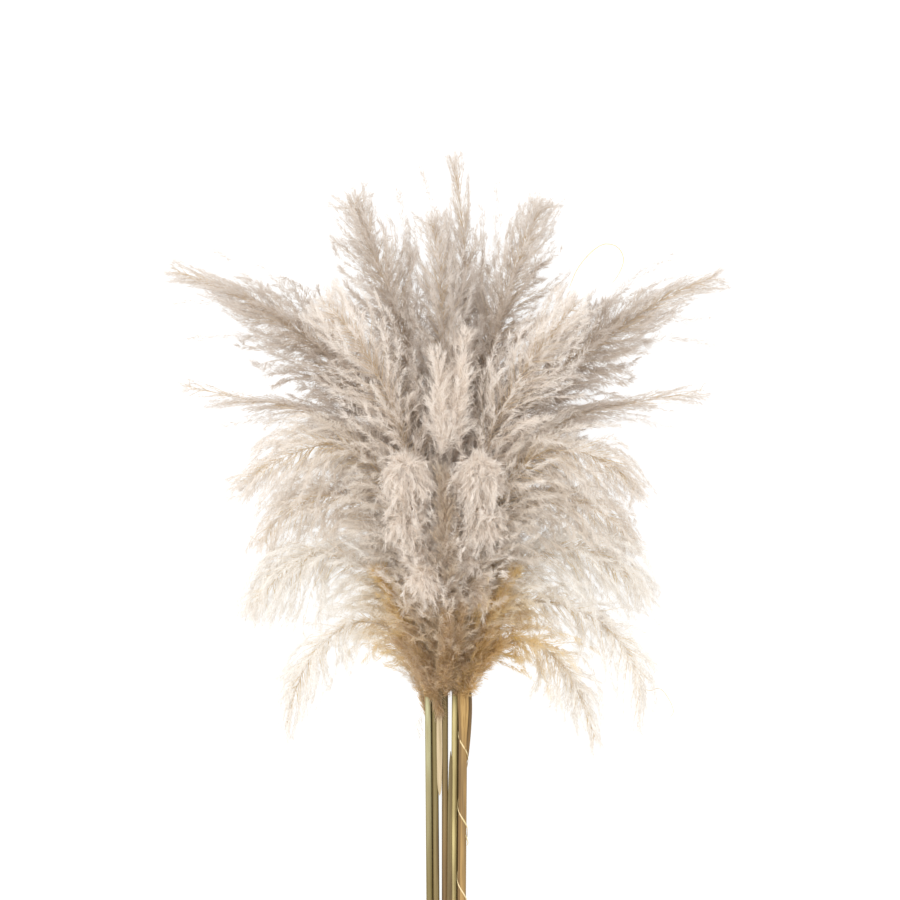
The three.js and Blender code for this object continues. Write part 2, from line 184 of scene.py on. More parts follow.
REEDS = {
    "trailing_left": Reed((0, 0), -34, 29, 0.6, "cream", "drawn", (
        (-29, 20, 6), (-53, 60, 17), (-89, 68, 22), (-127, 42, 20), (-149, 0, 17), (-162, -48, 15)), pale=0.3),
    "low_left": Reed((0, 1), -8, 44, 0.55, "cream", "soft", (
        (-38, 70, 19), (-74, 122, 30), (-125, 138, 29), (-169, 112, 23), (-193, 76, 17))),
    "side_left": Reed((0, 2), -8, 39, 0.45, "sand", "soft", (
        (-32, 96, 34), (-63, 168, 51), (-109, 196, 52), (-157, 178, 38), (-187, 144, 24))),
    "mid_left": Reed((0, 3), -10, 42, 0.4, "sand", "soft", (
        (-29, 118, 50), (-57, 208, 78), (-105, 244, 80), (-161, 232, 62), (-204, 202, 40))),
    "far_left": Reed((1, 0), -4, 44, 0.1, "taupe", "drawn", (
        (-11, 110, 17), (-52, 250, 27), (-137, 350, 29), (-222, 402, 27), (-276, 421, 24)), pale=-0.12),
    "left": Reed((1, 1), -6, 40, 0.2, "taupe", "whip", (
        (-20, 120, 32), (-71, 238, 51), (-133, 278, 50), (-205, 292, 38), (-264, 305, 25))),
    "upper_left": Reed((1, 2), -5, 39, 0, "taupe", "blunt", (
        (-13, 120, 43), (-26, 265, 56), (-46, 365, 56), (-70, 435, 50), (-94, 494, 44)), pale=-0.15),
    "broad_left": Reed((1, 3), -6, 44, 0, "pale", "blunt", (
        (-14, 104, 57), (-29, 205, 84), (-57, 295, 93), (-89, 352, 89), (-125, 392, 80))),
    "centre": Reed((2, 0), 14, 36, 0, "taupe", "drawn", (
        (5, 120, 14), (12, 230, 24), (18, 350, 28), (19, 440, 27), (13, 500, 25), (8, 537, 23)), pale=0.15),
    # Front_centre's paleness of 0.45 is painted light: it lifts the plume, which lies deep in the hollow between the
    # broad plumes and the tufts.
    "front_centre": Reed((2, 1), 8, 42, 0, "taupe", "soft", (
        (1, 110, 33), (3, 240, 66), (0, 340, 76), (-6, 420, 68), (-13, 474, 60)), pale=0.45),
    "tuft_left": Reed((2, 2), 3, 37, 0.15, "pale", "blunt", (
        (-4, 62, 54), (-21, 122, 86), (-30, 178, 112), (-37, 226, 130))),
    "tuft_centre": Reed((2, 3), 0, 30, 0.2, "pale", "blunt", (
        (-2, 42, 60), (-6, 80, 92), (-13, 116, 118))),
    "far_right": Reed((3, 0), -5, 44, 0.1, "taupe", "drawn", (
        (20, 110, 18), (55, 240, 28), (103, 312, 30), (169, 358, 30), (233, 399, 27), (280, 414, 24)), pale=-0.08),
    "upper_right": Reed((3, 1), -7, 38, 0, "taupe", "blunt", (
        (14, 120, 32), (31, 255, 52), (47, 345, 55), (67, 412, 50), (98, 490, 43)), pale=-0.15),
    "broad_right": Reed((3, 2), -5, 44, 0, "pale", "blunt", (
        (15, 104, 50), (31, 212, 80), (63, 292, 92), (97, 345, 89), (133, 388, 80))),
    "tuft_right": Reed((3, 3), -6, 37, 0.15, "pale", "blunt", (
        (15, 62, 62), (21, 122, 94), (28, 180, 119), (33, 226, 134))),
    "low_right": Reed((4, 2), -3, 44, 0.5, "cream", "soft", (
        (38, 84, 27), (81, 132, 37), (131, 142, 39), (177, 120, 28), (201, 92, 20))),
    "right": Reed((4, 3), -3, 40, 0.2, "taupe", "whip", (
        (27, 126, 38), (71, 232, 54), (129, 273, 52), (195, 288, 40), (264, 301, 26))),
    "side_right": Reed((4, 4), -9, 39, 0.45, "sand", "soft", (
        (36, 104, 48), (63, 172, 66), (109, 194, 66), (158, 176, 47), (189, 144, 28))),
    "mid_right": Reed((4, 5), -4, 42, 0.4, "sand", "soft", (
        (31, 118, 65), (60, 206, 89), (106, 240, 88), (155, 230, 68), (196, 200, 44)), True),
    "trailing_right": Reed((4, 0), -6, 29, 0.6, "cream", "drawn", (
        (38, 34, 9), (77, 50, 19), (113, 30, 20), (137, -10, 17), (152, -56, 15))),
    "hanging_right": Reed((4, 1), -2, 29, 0.5, "cream", "drawn", (
        (37, 56, 15), (81, 88, 23), (139, 78, 24), (177, 44, 20), (193, 0, 16), (191, -46, 14))),
}

ENDS = {  # where a plume begins to narrow, as a share of its length, and how full its tip still is
    "blunt": (0.82, 0.45),
    "soft": (0.8, 0.35),
    "drawn": (0.74, 0.24),
    "whip": (0.56, 0.27),
}

# Mops, where short locks spring up and fall back on all sides: the share of the plume's length, the reach and the
# step to the right in millimetres, and how much paler than the plume they are.
MOPS = {
    "tuft_left": (
        (0.95, 24, -2, 0.3), (0.76, 18, -10, 0.2), (0.62, 14, 7, 0), (0.46, 13, -8, 0.1), (0.3, 12, 4, -0.1)),
    "tuft_right": (
        (0.95, 24, 2, 0.3), (0.76, 18, 10, 0.2), (0.62, 14, -7, 0), (0.46, 13, 8, 0.1), (0.3, 12, -4, -0.1)),
    "tuft_centre": ((0.98, 14, -8, 0.2),),
    "mid_left": ((0.45, 16, 0, 0.3),),
    "mid_right": ((0.45, 16, 0, 0.3),),
    "side_left": ((0.52, 16, 0, 0.3),),
    "side_right": ((0.52, 16, 0, 0.3),),
}
# Wisps that stand off a plume: how full each is, the share of the plume's length that it is coloured like, and its
# line.
WISPS = {
    "far_left": (
        (0.5, 0.93, (-150, 368, 30), (-206, 384, 28), (-250, 387, 27), (-284, 384, 26)),
        (0.5, 0.93, (-160, 350, 30), (-216, 354, 28), (-250, 352, 27), (-279, 352, 26)),
        (0.5, 0.93, (-120, 362, 34), (-150, 392, 35), (-174, 414, 34), (-192, 424, 34)),
        (0.5, 0.93, (-160, 386, 31), (-190, 408, 30), (-216, 430, 30), (-232, 440, 30))),
    "far_right": (
        (0.5, 0.93, (160, 352, 31), (208, 370, 29), (246, 370, 28), (276, 364, 27)),
        (0.5, 0.93, (140, 372, 33), (176, 400, 33), (206, 422, 32), (232, 434, 32)),
        (0.4, 0.93, (170, 338, 30), (216, 350, 28), (246, 350, 27), (270, 344, 27))),
    "left": ((0.4, 0.93, (-140, 268, 46), (-176, 270, 42), (-206, 267, 40), (-226, 262, 36)),),
    "right": ((0.4, 0.93, (146, 262, 48), (186, 270, 44), (212, 266, 40), (236, 260, 36)),),
    "mid_left": ((0.4, 0.93, (-158, 214, 56), (-184, 204, 46), (-206, 193, 38), (-224, 188, 30)),),
    "upper_left": (
        (0.5, 0.93, (-34, 420, 52), (-40, 456, 48), (-44, 482, 44), (-46, 500, 42)),
        (0.5, 0.93, (-60, 398, 54), (-80, 428, 50), (-100, 446, 46), (-112, 450, 44))),
    "upper_right": ((0.5, 0.93, (46, 420, 52), (51, 456, 48), (52, 486, 44), (50, 506, 42)),),
    "centre": ((0.5, 0.93, (2, 430, 30), (-8, 466, 30), (-18, 500, 30), (-25, 524, 30)),),
    "broad_left": (
        (0.7, 0.02, (-14, -9, 31), (-21, 14, 38), (-31, 34, 42), (-46, 54, 44)),
        (0.7, 0.06, (-8, -8, 33), (-14, 18, 46), (-24, 40, 56), (-36, 62, 62)),
        (1.2, 0.48, (-4, 232, 124), (-4, 266, 132), (-6, 300, 130), (-8, 340, 116)),
        (0.4, 0.02, (-9, 14, 32), (-9, -4, 28.5), (-7, -16, 27.5), (-5, -24, 27.2))),
    "tuft_centre": (
        (0.6, 0.1, (0, -6, 36), (0, 22, 62), (2, 52, 88), (3, 84, 104)),
        (0.6, 0.2, (3, -4, 34), (8, 26, 60), (12, 56, 82), (15, 90, 94))),
    "front_centre": ((1.0, 0.28, (-2, 84, 96), (0, 128, 120), (0, 176, 130), (-2, 226, 130)),),
    "broad_right": (
        (0.6, 0.04, (10, -8, 36), (15, 20, 50), (23, 44, 60), (34, 66, 64)),
        (1.2, 0.48, (6, 242, 122), (12, 280, 128), (16, 320, 122), (18, 360, 106))),
    "mid_right": (
        (0.8, 0.02, (18, -6, 44), (26, 14, 52), (40, 34, 56), (58, 52, 55)),
        (0.8, 0.06, (16, -6, 44), (22, 18, 54), (32, 40, 60), (46, 62, 62))),
    "low_left": ((1.0, 0.28, (-26, 46, 42), (-40, 72, 52), (-54, 98, 60), (-70, 124, 62)),),
    "low_right": ((1.0, 0.28, (27, 48, 48), (41, 74, 58), (56, 100, 66), (72, 126, 68)),),
    "trailing_left": (
        (0.4, 0.9, (-19, -6, 9), (-36, 12, 14), (-54, 32, 18), (-68, 48, 20)),
        (0.3, 0.9, (-20, -12, 7), (-25, -26, 6), (-27, -36, 6), (-24, -47, 6))),
}

SILK_BASES = {  # the colours of each tone at the neck and above it
    "taupe": ("neck_brown", "shoulder_brown"),
    "pale": ("neck_brown", "shoulder_brown"),
    "sand": ("neck_ochre", "shoulder_gold"),
    "cream": ("neck_ochre", "shoulder_gold"),
}
SILK_TIP_SHARE = 0.6  # how far the body's colour has gone towards the silk tips' at the end of a plume

STALK_TONES = ("green", "olive", "tan", "straw", "brown")  # of the piles, from the left
STALK_CHANGES = {  # each tone's darkest weathering, which is also painted on its sides as shade, and its colour towards the cut end
    "green": ("tan", "olive"),
    "olive": ("umber", "tan"),
    "tan": ("umber", "brown"),
    "straw": ("tan", "straw"),
    "sheath": ("umber", "sheath"),
    "brown": ("umber", "brown"),
    "husk": ("tan", "husk"),
}

# A stalk's rings at the cut end, in millimetres from the cut.
CUT_DEPTHS = (4, 0, 0, 0.4)  # the skin's first rings, from inside the cut end outwards
SKIN_START = 1.5
PITH_DEPTHS = (0.5, 4.5)
PITH_OVERLAP = 0.15  # the pith reaches so far into the rind
STALK_TAPER = 0.95  # its radius at the plume, as a share of that at the cut end

# The sheath and the strand round the sheathed stem, in millimetres. Waves are pairs: how high, and how many radians
# of the wave for each radian round the stem.
SHEATH_TOP = 4
SHEATH_TOP_WAVES = ((5, 2.3), (2.5, 11))
SHEATH_BOTTOM = -335
SHEATH_BOTTOM_WAVES = ((4, 3),)
SHEATH_WRAP = 2.2 * math.pi
SHEATH_SEAM = 1.33  # radians from the right, up round the stem
SHEATH_RADIUS = 3.75
SHEATH_RIBS = ((0.025, 9), (0.012, 23))  # these waves are shares of the radius
SHEATH_LAP = 0.55
SHEATH_FLARE = 2.6
SHEATH_OPENING = (-45 * MM, 8 * MM)  # where it begins to stand off the stalk, and where it stands off fully
SHEATH_THICKNESS = 0.35
STRAND_START_Y = -40
STRAND_PITCH = 72
STRAND_TURNS = 5
STRAND_FRONT_Y = -54  # where it crosses the front
STRAND_HASTE = 0.5
STRAND_CLEAR = 5.0  # its distance from the stem's middle

# Strips of dry leaf that lie between the stalks: tone, half width and line.
LEAF_STRIPS = {
    "left": ("husk", 2.8, (-5.2, 12, 29), (-5.6, -14, 26.8), (-5.6, -60, 26.2), (-5.3, -104, 26.1)),
    "right": (
        "olive", 2.3, (5.7, -60, 26.3), (5.1, -110, 26.3), (4.5, -200, 26.5), (3.9, -290, 26.6), (3.5, -350, 26.5)),
    "seam_left": ("olive", 1.2, (-13.6, 0, 13.4), (-12.93, -90, 13.4), (-12.1, -200, 13.4), (-11.2, -320, 13.4)),
    "seam_right": ("brown", 1.2, (13.5, 0, 20.3), (12.85, -90, 20.3), (12.05, -200, 20.3), (11.2, -320, 20.3)),
    "sheath_right": ("brown", 2.6, (22.6, 14, 45), (24.4, -10, 43), (23.4, -36, 41), (21.2, -70, 40)),
    "sheath_front": ("sheath", 1.1, (19.4, 14, 49), (22.4, -8, 46.5), (21.6, -30, 44.8), (19.8, -58, 44.8)),
    "sheath_left": ("brown", 1.3, (14.3, 6, 45.6), (15.1, -24, 44.0), (15.2, -60, 43.6), (15.0, -96, 43.5)),
    "low_left": ("brown", 1.2, (15.3, -78, 43.6), (15.0, -120, 43.6), (14.7, -160, 43.5), (14.2, -220, 43.3)),
}
STRIP_THICKNESS = 0.4
# Fibres that have come loose: half thickness and line.
FIBRES = {
    "loop": (0.4, (122, 398, 66), (131, 419, 63), (145, 436, 60), (158, 444, 58), (171, 441, 57), (177, 429, 56),
             (172, 414, 56), (164, 403, 57)),
    "curl": (0.28, (190, 10, 17), (203, 0, 14), (214, 2, 12), (223, -8, 11), (228, -22, 9), (221, -31, 8)),
    "hook": (0.4, (20.4, -142, 44.0), (21.8, -146, 43.8), (22.8, -150, 43.2), (21.8, -153, 42.6)),
}

# How finely the pieces are drawn.
CURVE_STEPS = 40  # points on each stretch of a plume's line
LOCK_POINTS = 9
BRANCHLET_POINTS = 3
RACHIS_RINGS = 40
RACHIS_SIDES = 7
STALK_RINGS = 24
STALK_SIDES = 16
SHEATH_SIDES = 64
SHEATH_RINGS = 24
STRAND_RINGS = 160
STRIP_RINGS = 24
STRIP_SIDES = 8
SHARP_ANGLE = math.radians(32)
OFF_AXIS = (0.1, 0.2, 1)  # a direction that next to nothing runs along, to take cross products with

# Where hair may be.
TABLE_CLEARANCE = 0.2 * MM
RESTING_DEPTH = 2.5 * MM  # of the hair that is pressed flat on the table
CEILING = CAD_BOX[1][2] + 12 * MM  # no hair stands higher
CEILING_SOFTNESS = 16 * MM

# The silk map. Below the band's top, v holds stalks and glumes, and hair lies above it.
BAND_TOP = 0.12
TUBE_BAND = (0.02, 0.1)
BRANCHLET_BAND = (0.03, 0.09)
GLUME_BAND = (0.02, 0.05, 0.05, 0.1)  # at a glume's root, its two sides and its tip
ROOT_V, TIP_V = 0.16, 0.98
SPARE_U = 0.02  # kept free at both ends of u
HAIR_MAP_WIDTH = 0.004
STREAK_SCALE = (110.0, 1.5, 1.0)  # streaks are about as wide as one hair on the map and run far along it
NECK_COLOUR = 270 * MM  # the height over which the neck's colour gives way to the body's
FULL_LENGTH = 380 * MM  # shorter plumes don't reach the tip's colour
LUMP_SIZE = 55 * MM
LUMP_WAVES = 5

# The patterns' sizes. Real fibres and pores are about a tenth as wide, and these are as coarse as the render needs.
FIBRE_SCALE = (1 / (0.8 * MM), 1 / (90 * MM), 1 / (0.8 * MM))
WEATHER_SCALE = (1 / (7 * MM), 1 / (110 * MM), 1 / (7 * MM))
WEATHER_FALL = (-50 * MM, -190 * MM)  # where a stalk begins to change towards its lower colour, and where it has
FIBRE_RELIEF = 0.3 * MM
PORE_SCALE = 1 / (0.6 * MM)
CLOUD_SCALE = 1 / (500 * MM)  # of the light table's slight unevenness

# The studio, in metres.
FLOOR_HALF = 12.0
SOFTBOX_SIZE = 2.4
SOFTBOX_PLACE = (-0.7, 1.1, 2.5)
SOFTBOX_AIM = (0.0, 0.15, 0.05)
VIEW_CENTRE = (0.005, 0.240)
SENSOR_WIDTH = 36.0  # in millimetres, as the lens is
CLIP_END = 100.0


def linear(colour):
    """An sRGB hex colour as linear light: c / 12.92 up to 0.04045, and ((c + 0.055) / 1.055) ^ 2.4 above it."""
    digits = colour.lstrip("#")
    channels = np.array([int(digits[i:i + 2], 16) for i in (0, 2, 4)]) / 255
    low, high = channels / 12.92, ((channels + 0.055) / 1.055) ** 2.4
    return tuple(float(c) for c in np.where(channels <= 0.04045, low, high))


def colour_property(name, description, default):
    """A colour that the user can change, stored as linear light."""
    return bpy.props.FloatVectorProperty(
        name=name, description=description, subtype="COLOR", size=3, min=0, max=1, default=linear(default))


def length_property(name, description, millimetres):
    """A length that the user can change, stored in metres."""
    return bpy.props.FloatProperty(
        name=name, description=description, subtype="DISTANCE", unit="LENGTH", min=0, precision=5,
        default=millimetres * MM)


class PampasSilkSettings(bpy.types.PropertyGroup):
    """The sizes of the plumes' hair."""

    hair_length: length_property("Hair length", "A full hair, from the lock to its tip", 10.5)
    hair_width: length_property("Hair width", "A hair at its widest", 0.58)
    lock_spacing: length_property("Lock spacing", "Plume length for each lock of hair", 1.0)
    wave: length_property("Wave", "How far a lock's tip strays from its even line", 12)
    hairs_per_cm: bpy.props.FloatProperty(
        name="Hairs per centimetre", description="Hairs on each centimetre of a lock", default=17.5, min=1, max=90)
    lean: bpy.props.FloatProperty(
        name="Lean", description="How far hair stands off its lock", subtype="ANGLE", default=math.radians(42))
    spread: bpy.props.FloatProperty(
        name="Spread", description="Reach of the longest locks as a share of the plume's half width", default=1.3,
        min=0, max=2)
    patchiness: bpy.props.FloatProperty(
        name="Patchiness", description="How far light and dark patches differ", default=0.1, min=0, max=1)
    glume_share: bpy.props.FloatProperty(
        name="Glume share", description="Glumes for each pair of hairs", default=0.02, min=0, max=1)
    stray_share: bpy.props.FloatProperty(
        name="Stray share", description="Locks that reach past the others", default=0.1, min=0, max=1)
    seed: bpy.props.IntProperty(name="Seed", description="Start of the random draw", default=11)


class PampasStalkSettings(bpy.types.PropertyGroup):
    """The sizes of the stalks and what is wound round them."""

    radius: length_property("Stalk radius", "A stalk away from its joints", 3.2)
    rind: length_property("Rind", "Thickness of the hard rind at the cut end", 0.7)
    strand_width: length_property("Strand width", "The flat strand, across", 1.5)
    strand_thickness: length_property("Strand thickness", "The flat strand, through", 0.5)


class PampasColours(bpy.types.PropertyGroup):
    """The colours of the bunch."""

    taupe: colour_property("Taupe", "Body of the upper plumes", "#d0c5ba")
    sand: colour_property("Sand", "Body of the side plumes", "#ece5dc")
    pale: colour_property("Pale", "Body of the front plumes", "#f4ede5")
    cream: colour_property("Cream", "Body of the hanging plumes", "#f6f4f0")
    silk_tip: colour_property("Silk tips", "Ends of the hair", "#f2efec")
    neck_brown: colour_property("Neck brown", "Plume bases in the middle", "#d2b68a")
    neck_ochre: colour_property("Neck ochre", "Plume bases at the sides", "#d4b57c")
    shoulder_brown: colour_property("Shoulder brown", "Above the bases in the middle", "#d8c3a2")
    shoulder_gold: colour_property("Shoulder gold", "Above the bases at the sides", "#e8cd8c")
    branchlet: colour_property("Branchlets", "Fine stalks and glumes inside the plumes", "#cdbda6")
    # Umber, and tan for the green, straw and husk tones, is also painted on the sides of stalks and strips as shade.
    green: colour_property("Green stalk", "The leftmost stalks", "#b0ad87")
    olive: colour_property("Olive stalk", "The second pile of stalks", "#786b41")
    tan: colour_property("Tan stalk", "The middle stalks", "#84734a")
    straw: colour_property("Straw stalk", "The yellow green stalks", "#d2c388")
    husk: colour_property("Husk", "Dry leaf between the stalks", "#c3b190")
    sheath: colour_property("Sheath", "The leaf sheath", "#a98852")
    brown: colour_property("Brown stalk", "The rightmost stalks", "#80643a")
    umber: colour_property("Umber", "Stalks where they have weathered darkest", "#5f4a2c")
    pith: colour_property("Pith", "The cut ends' soft inside", "#ddd0b0")
    strand: colour_property("Strand", "The leaf fibre wound round the sheath", "#d9c39a")
    floor: colour_property("Floor", "The studio floor", "#6a6a6a")


class PampasStudio(bpy.types.PropertyGroup):
    """The camera and the light."""

    view_width: length_property("View width", "What the picture shows across", 900)
    camera_height: length_property("Camera height", "The camera above the table", 6000)
    lamp_power: bpy.props.FloatProperty(
        name="Softbox power", description="The large light overhead", subtype="POWER", unit="POWER", default=60)
    sky_strength: bpy.props.FloatProperty(
        name="Fill light", description="Even light from all round", default=1.15, min=0)


def smoothstep(x, low, high):
    """3 t^2 - 2 t^3, where t runs from 0 at low to 1 at high."""
    t = np.clip((x - low) / (high - low), 0, 1)
    return t * t * (3 - 2 * t)


def unit(vectors):
    """Each vector divided by its length."""
    return vectors / np.maximum(np.linalg.norm(vectors, axis=-1, keepdims=True), 1e-12)


class Line(NamedTuple):
    """A line in metres as close points, with its directions and the distance of each point along it."""

    points: np.ndarray
    tangent: np.ndarray
    side: np.ndarray
    up: np.ndarray
    distance: np.ndarray

    @property
    def length(self):
        return self.distance[-1]


def line_through(points):
    """Tangents are differences of the points. Sideways is tangent x Z, and up is sideways x tangent."""
    distance = np.concatenate(([0], np.cumsum(np.linalg.norm(np.diff(points, axis=0), axis=1))))
    tangent = unit(np.gradient(points, axis=0))
    side = unit(np.cross(tangent, (0, 0, 1)))
    return Line(points, tangent, side, np.cross(side, tangent), distance)


def at(line, field, distance):
    """The line's field at each distance, between its two nearest points."""
    values = getattr(line, field)
    return np.stack([np.interp(distance, line.distance, values[:, k]) for k in range(3)], axis=-1)


def centripetal_curve(points):
    """Catmull-Rom through the points: each stretch is the cubic that leaves and reaches its ends with the slopes
    (a - b) / d over neighbouring stretches, where d is the square root of a stretch's length. The ends are drawn out
    straight."""
    ends = (2 * points[0] - points[1], 2 * points[-1] - points[-2])
    p = np.vstack((ends[0], points, ends[1]))
    t = np.linspace(0, 1, CURVE_STEPS, endpoint=False)[:, None]
    stretches = []
    for a, b, c, d in zip(p, p[1:], p[2:], p[3:]):
        ab, bc, cd = (math.sqrt(np.linalg.norm(after - before)) for before, after in ((a, b), (b, c), (c, d)))
        leaving = ((b - a) / ab - (c - a) / (ab + bc) + (c - b) / bc) * bc
        arriving = ((c - b) / bc - (d - b) / (bc + cd) + (d - c) / cd) * bc
        stretches.append(
            b + leaving * t + (3 * (c - b) - 2 * leaving - arriving) * t ** 2
            + (2 * (b - c) + leaving + arriving) * t ** 3)
    return np.vstack(stretches + [points[-1:]])


def smooth_line(path):
    """The line of a smooth curve through a path that is given in millimetres."""
    return line_through(centripetal_curve(np.array(path, float) * MM))


def seat_of(reed):
    """The stem's place across the bunch at the neck, in millimetres."""
    column, row = reed.seat
    seat = np.array((COLUMNS[column], STEM_FLAT + row * ROW_RISE))
    return seat + SHEATHED_SHIFT if reed.sheathed else seat


def plume_line(reed):
    """The plume's line, which begins on the last of its stem and runs straight on from it."""
    x, z = seat_of(reed)
    straight = [(x, reed.start + along, z) for along in (-LEAD_IN, 0, LEAD_IN)]
    return smooth_line(straight + list(reed.path))


def fullness(reed, line, distance):
    """How full a plume is: held tight at the neck, full in the middle, narrower at its tip."""
    closing, tip = ENDS[reed.end]
    share = distance / line.length
    opening = smoothstep(share, *OPENING) * smoothstep(distance, *NECK_HOLD)
    return np.maximum(opening, NECK_FULLNESS) * (1 - (1 - tip) * smoothstep(share, closing, closing + TIP_LENGTH))


class Surface(NamedTuple):
    """Part of a piece: points, triangles, the map's place of each corner, and the material's place in the piece."""

    points: np.ndarray
    triangles: np.ndarray
    corners: np.ndarray
    material: int = 0


def grid_triangles(count, rings, sides):
    """Two triangles for each cell of count tubes, each a grid of rings by sides that closes round its sides."""
    tube, ring, side = np.meshgrid(np.arange(count), np.arange(rings - 1), np.arange(sides), indexing="ij")
    first = tube * rings * sides
    near, far = first + ring * sides, first + (ring + 1) * sides
    after = (side + 1) % sides
    a, b, c, d = near + side, near + after, far + after, far + side
    return np.concatenate((np.stack((a, b, c), -1).reshape(-1, 3), np.stack((a, c, d), -1).reshape(-1, 3)))


def tubes(centres, side, up, half_width, half_height, sides):
    """Closed tubes. Point k of a ring is centre + half_width cos(k turn) side - half_height sin(k turn) up. All
    arrays run over tubes, then rings. The end rings are closed to a pole. u runs along a tube and v round it."""
    count, rings = centres.shape[:2]
    turn = np.arange(sides) * (2 * math.pi / sides)
    ring = (
        centres[:, :, None]
        + (half_width[:, :, None] * np.cos(turn))[..., None] * side[:, :, None]
        - (half_height[:, :, None] * np.sin(turn))[..., None] * up[:, :, None])
    points = np.concatenate((ring.reshape(-1, 3), centres[:, 0], centres[:, -1]))
    body = grid_triangles(count, rings, sides)
    first = (np.arange(count) * rings * sides)[:, None]
    k = np.arange(sides)[None]
    after = (k + 1) % sides
    start_pole = np.broadcast_to((count * rings * sides + np.arange(count))[:, None], (count, sides))
    last = first + (rings - 1) * sides
    start = np.stack((start_pole, first + after, first + k), -1).reshape(-1, 3)
    end = np.stack((start_pole + count, last + k, last + after), -1).reshape(-1, 3)
    triangles = np.concatenate((body, start, end))
    place = np.linspace(SPARE_U, 1 - SPARE_U, rings)
    u = np.concatenate((
        np.broadcast_to(place[None, :, None], (count, rings, sides)).ravel(),
        np.full(count, place[0]), np.full(count, place[-1])))
    low, high = TUBE_BAND
    v = np.concatenate((
        np.broadcast_to(low + (high - low) * np.abs(np.sin(turn / 2)), (count, rings, sides)).ravel(),
        np.full(2 * count, np.mean(TUBE_BAND))))
    return Surface(points, triangles, np.stack((u, v), -1)[triangles])


def ribbons(centres, side, half_width):
    """Flat ribbons: point pairs centre - half_width side and centre + half_width side, joined along each line."""
    count, steps = centres.shape[:2]
    reach = half_width[None, :, None] * side
    points = np.stack((centres - reach, centres + reach), axis=2).reshape(-1, 3)
    first = (np.arange(count)[:, None] * steps + np.arange(steps - 1)).reshape(-1, 1) * 2
    triangles = np.concatenate((first + (0, 1, 3), first + (0, 3, 2)))
    u = np.broadcast_to(np.linspace(SPARE_U, 1 - SPARE_U, steps)[None, :, None], (count, steps, 2)).ravel()
    v = np.broadcast_to(BRANCHLET_BAND, (count, steps, 2)).ravel()
    return Surface(points, triangles, np.stack((u, v), -1)[triangles])


class Locks(NamedTuple):
    """Locks of hair, each with `LOCK_POINTS` steps. For each step: its point, the point of the plume's line beside it,
    its share of the plume's length and how full the plume is there. For each lock: how dense and how pale its hair
    is."""

    points: np.ndarray
    axis: np.ndarray
    share: np.ndarray
    full: np.ndarray
    dense: np.ndarray
    pale: np.ndarray


def standing_out(line, distance, turn, flattening=1.0):
    """For each lock the direction cos(turn) sideways + flattening sin(turn) up, at each distance along the line."""
    return (
        np.cos(turn)[:, None, None] * at(line, "side", distance)
        + flattening * np.sin(turn)[:, None, None] * at(line, "up", distance))


def grow_locks(reed, line, settings, rng):
    """The locks of a plume. A lock leaves the plume's line at `along` and runs on with it, while it moves out by
    spread x width x fullness x (1.4 s - 0.4 s^2) towards the golden turn's direction, sags by hang x run x s^2, and
    strays by a slow wave. Towards a drawn out tip the locks are fewer, thinner and paler."""
    width = reed.width * MM
    count = round(line.length / settings.lock_spacing * reed.width / FULL_WIDTH * CROWDING[reed.tone])
    share = (np.arange(count) + rng.random(count)) / count
    share[::NECK_LOCKS] *= NECK_SHARE
    fading = TIP_THINNING[reed.end] * smoothstep(share, THINNING_START[reed.end], 1)
    kept = rng.random(count) > fading
    share, fading, count = share[kept], fading[kept], np.count_nonzero(kept)
    along = line.length * LAST_LOCK * share
    stretch = rng.uniform(*LOCK_SIZES, count)
    stray = rng.random(count) < settings.stray_share
    reach = np.where(stray, rng.uniform(*STRAY_SIZES, count), 1.0)
    turn = np.arange(count) * GOLDEN_TURN + rng.normal(0, LOCK_SCATTER, count)
    run = np.minimum(LOCK_RUN * width * stretch * reach, (line.length - along) * rng.uniform(*LOCK_ROOM, count))
    s = np.linspace(0, 1, LOCK_POINTS)[None]
    distance = along[:, None] + run[:, None] * s
    full = fullness(reed, line, distance)
    out = settings.spread * width * full * stretch[:, None] * (1.4 * s - 0.4 * s * s)
    axis = at(line, "points", distance)
    points = axis + standing_out(line, distance, turn, FLATTENING) * out[..., None]
    hang = reed.hang * rng.uniform(*HANG_SIZES, count) * smoothstep(along, *HANG_FREE)
    points[..., 1] -= hang[:, None] * run[:, None] * s * s * LOCK_HANG
    phase = rng.uniform(0, 2 * math.pi, (count, 3))
    pace = rng.uniform(*WAVE_PACE, (count, 3))
    wave = np.sin(phase[:, None] + pace[:, None] * s[..., None]) - np.sin(phase)[:, None]
    points += settings.wave * LOCK_WAVE * wave * (s * full)[..., None]
    dense = np.where(stray, STRAY_DENSITY, 1.0) * (1 - TIP_FINENESS * fading)
    pale = reed.pale + TIP_PALENESS * fading + STRAY_PALENESS * stray
    return Locks(points, axis, distance / line.length, full, dense, pale)


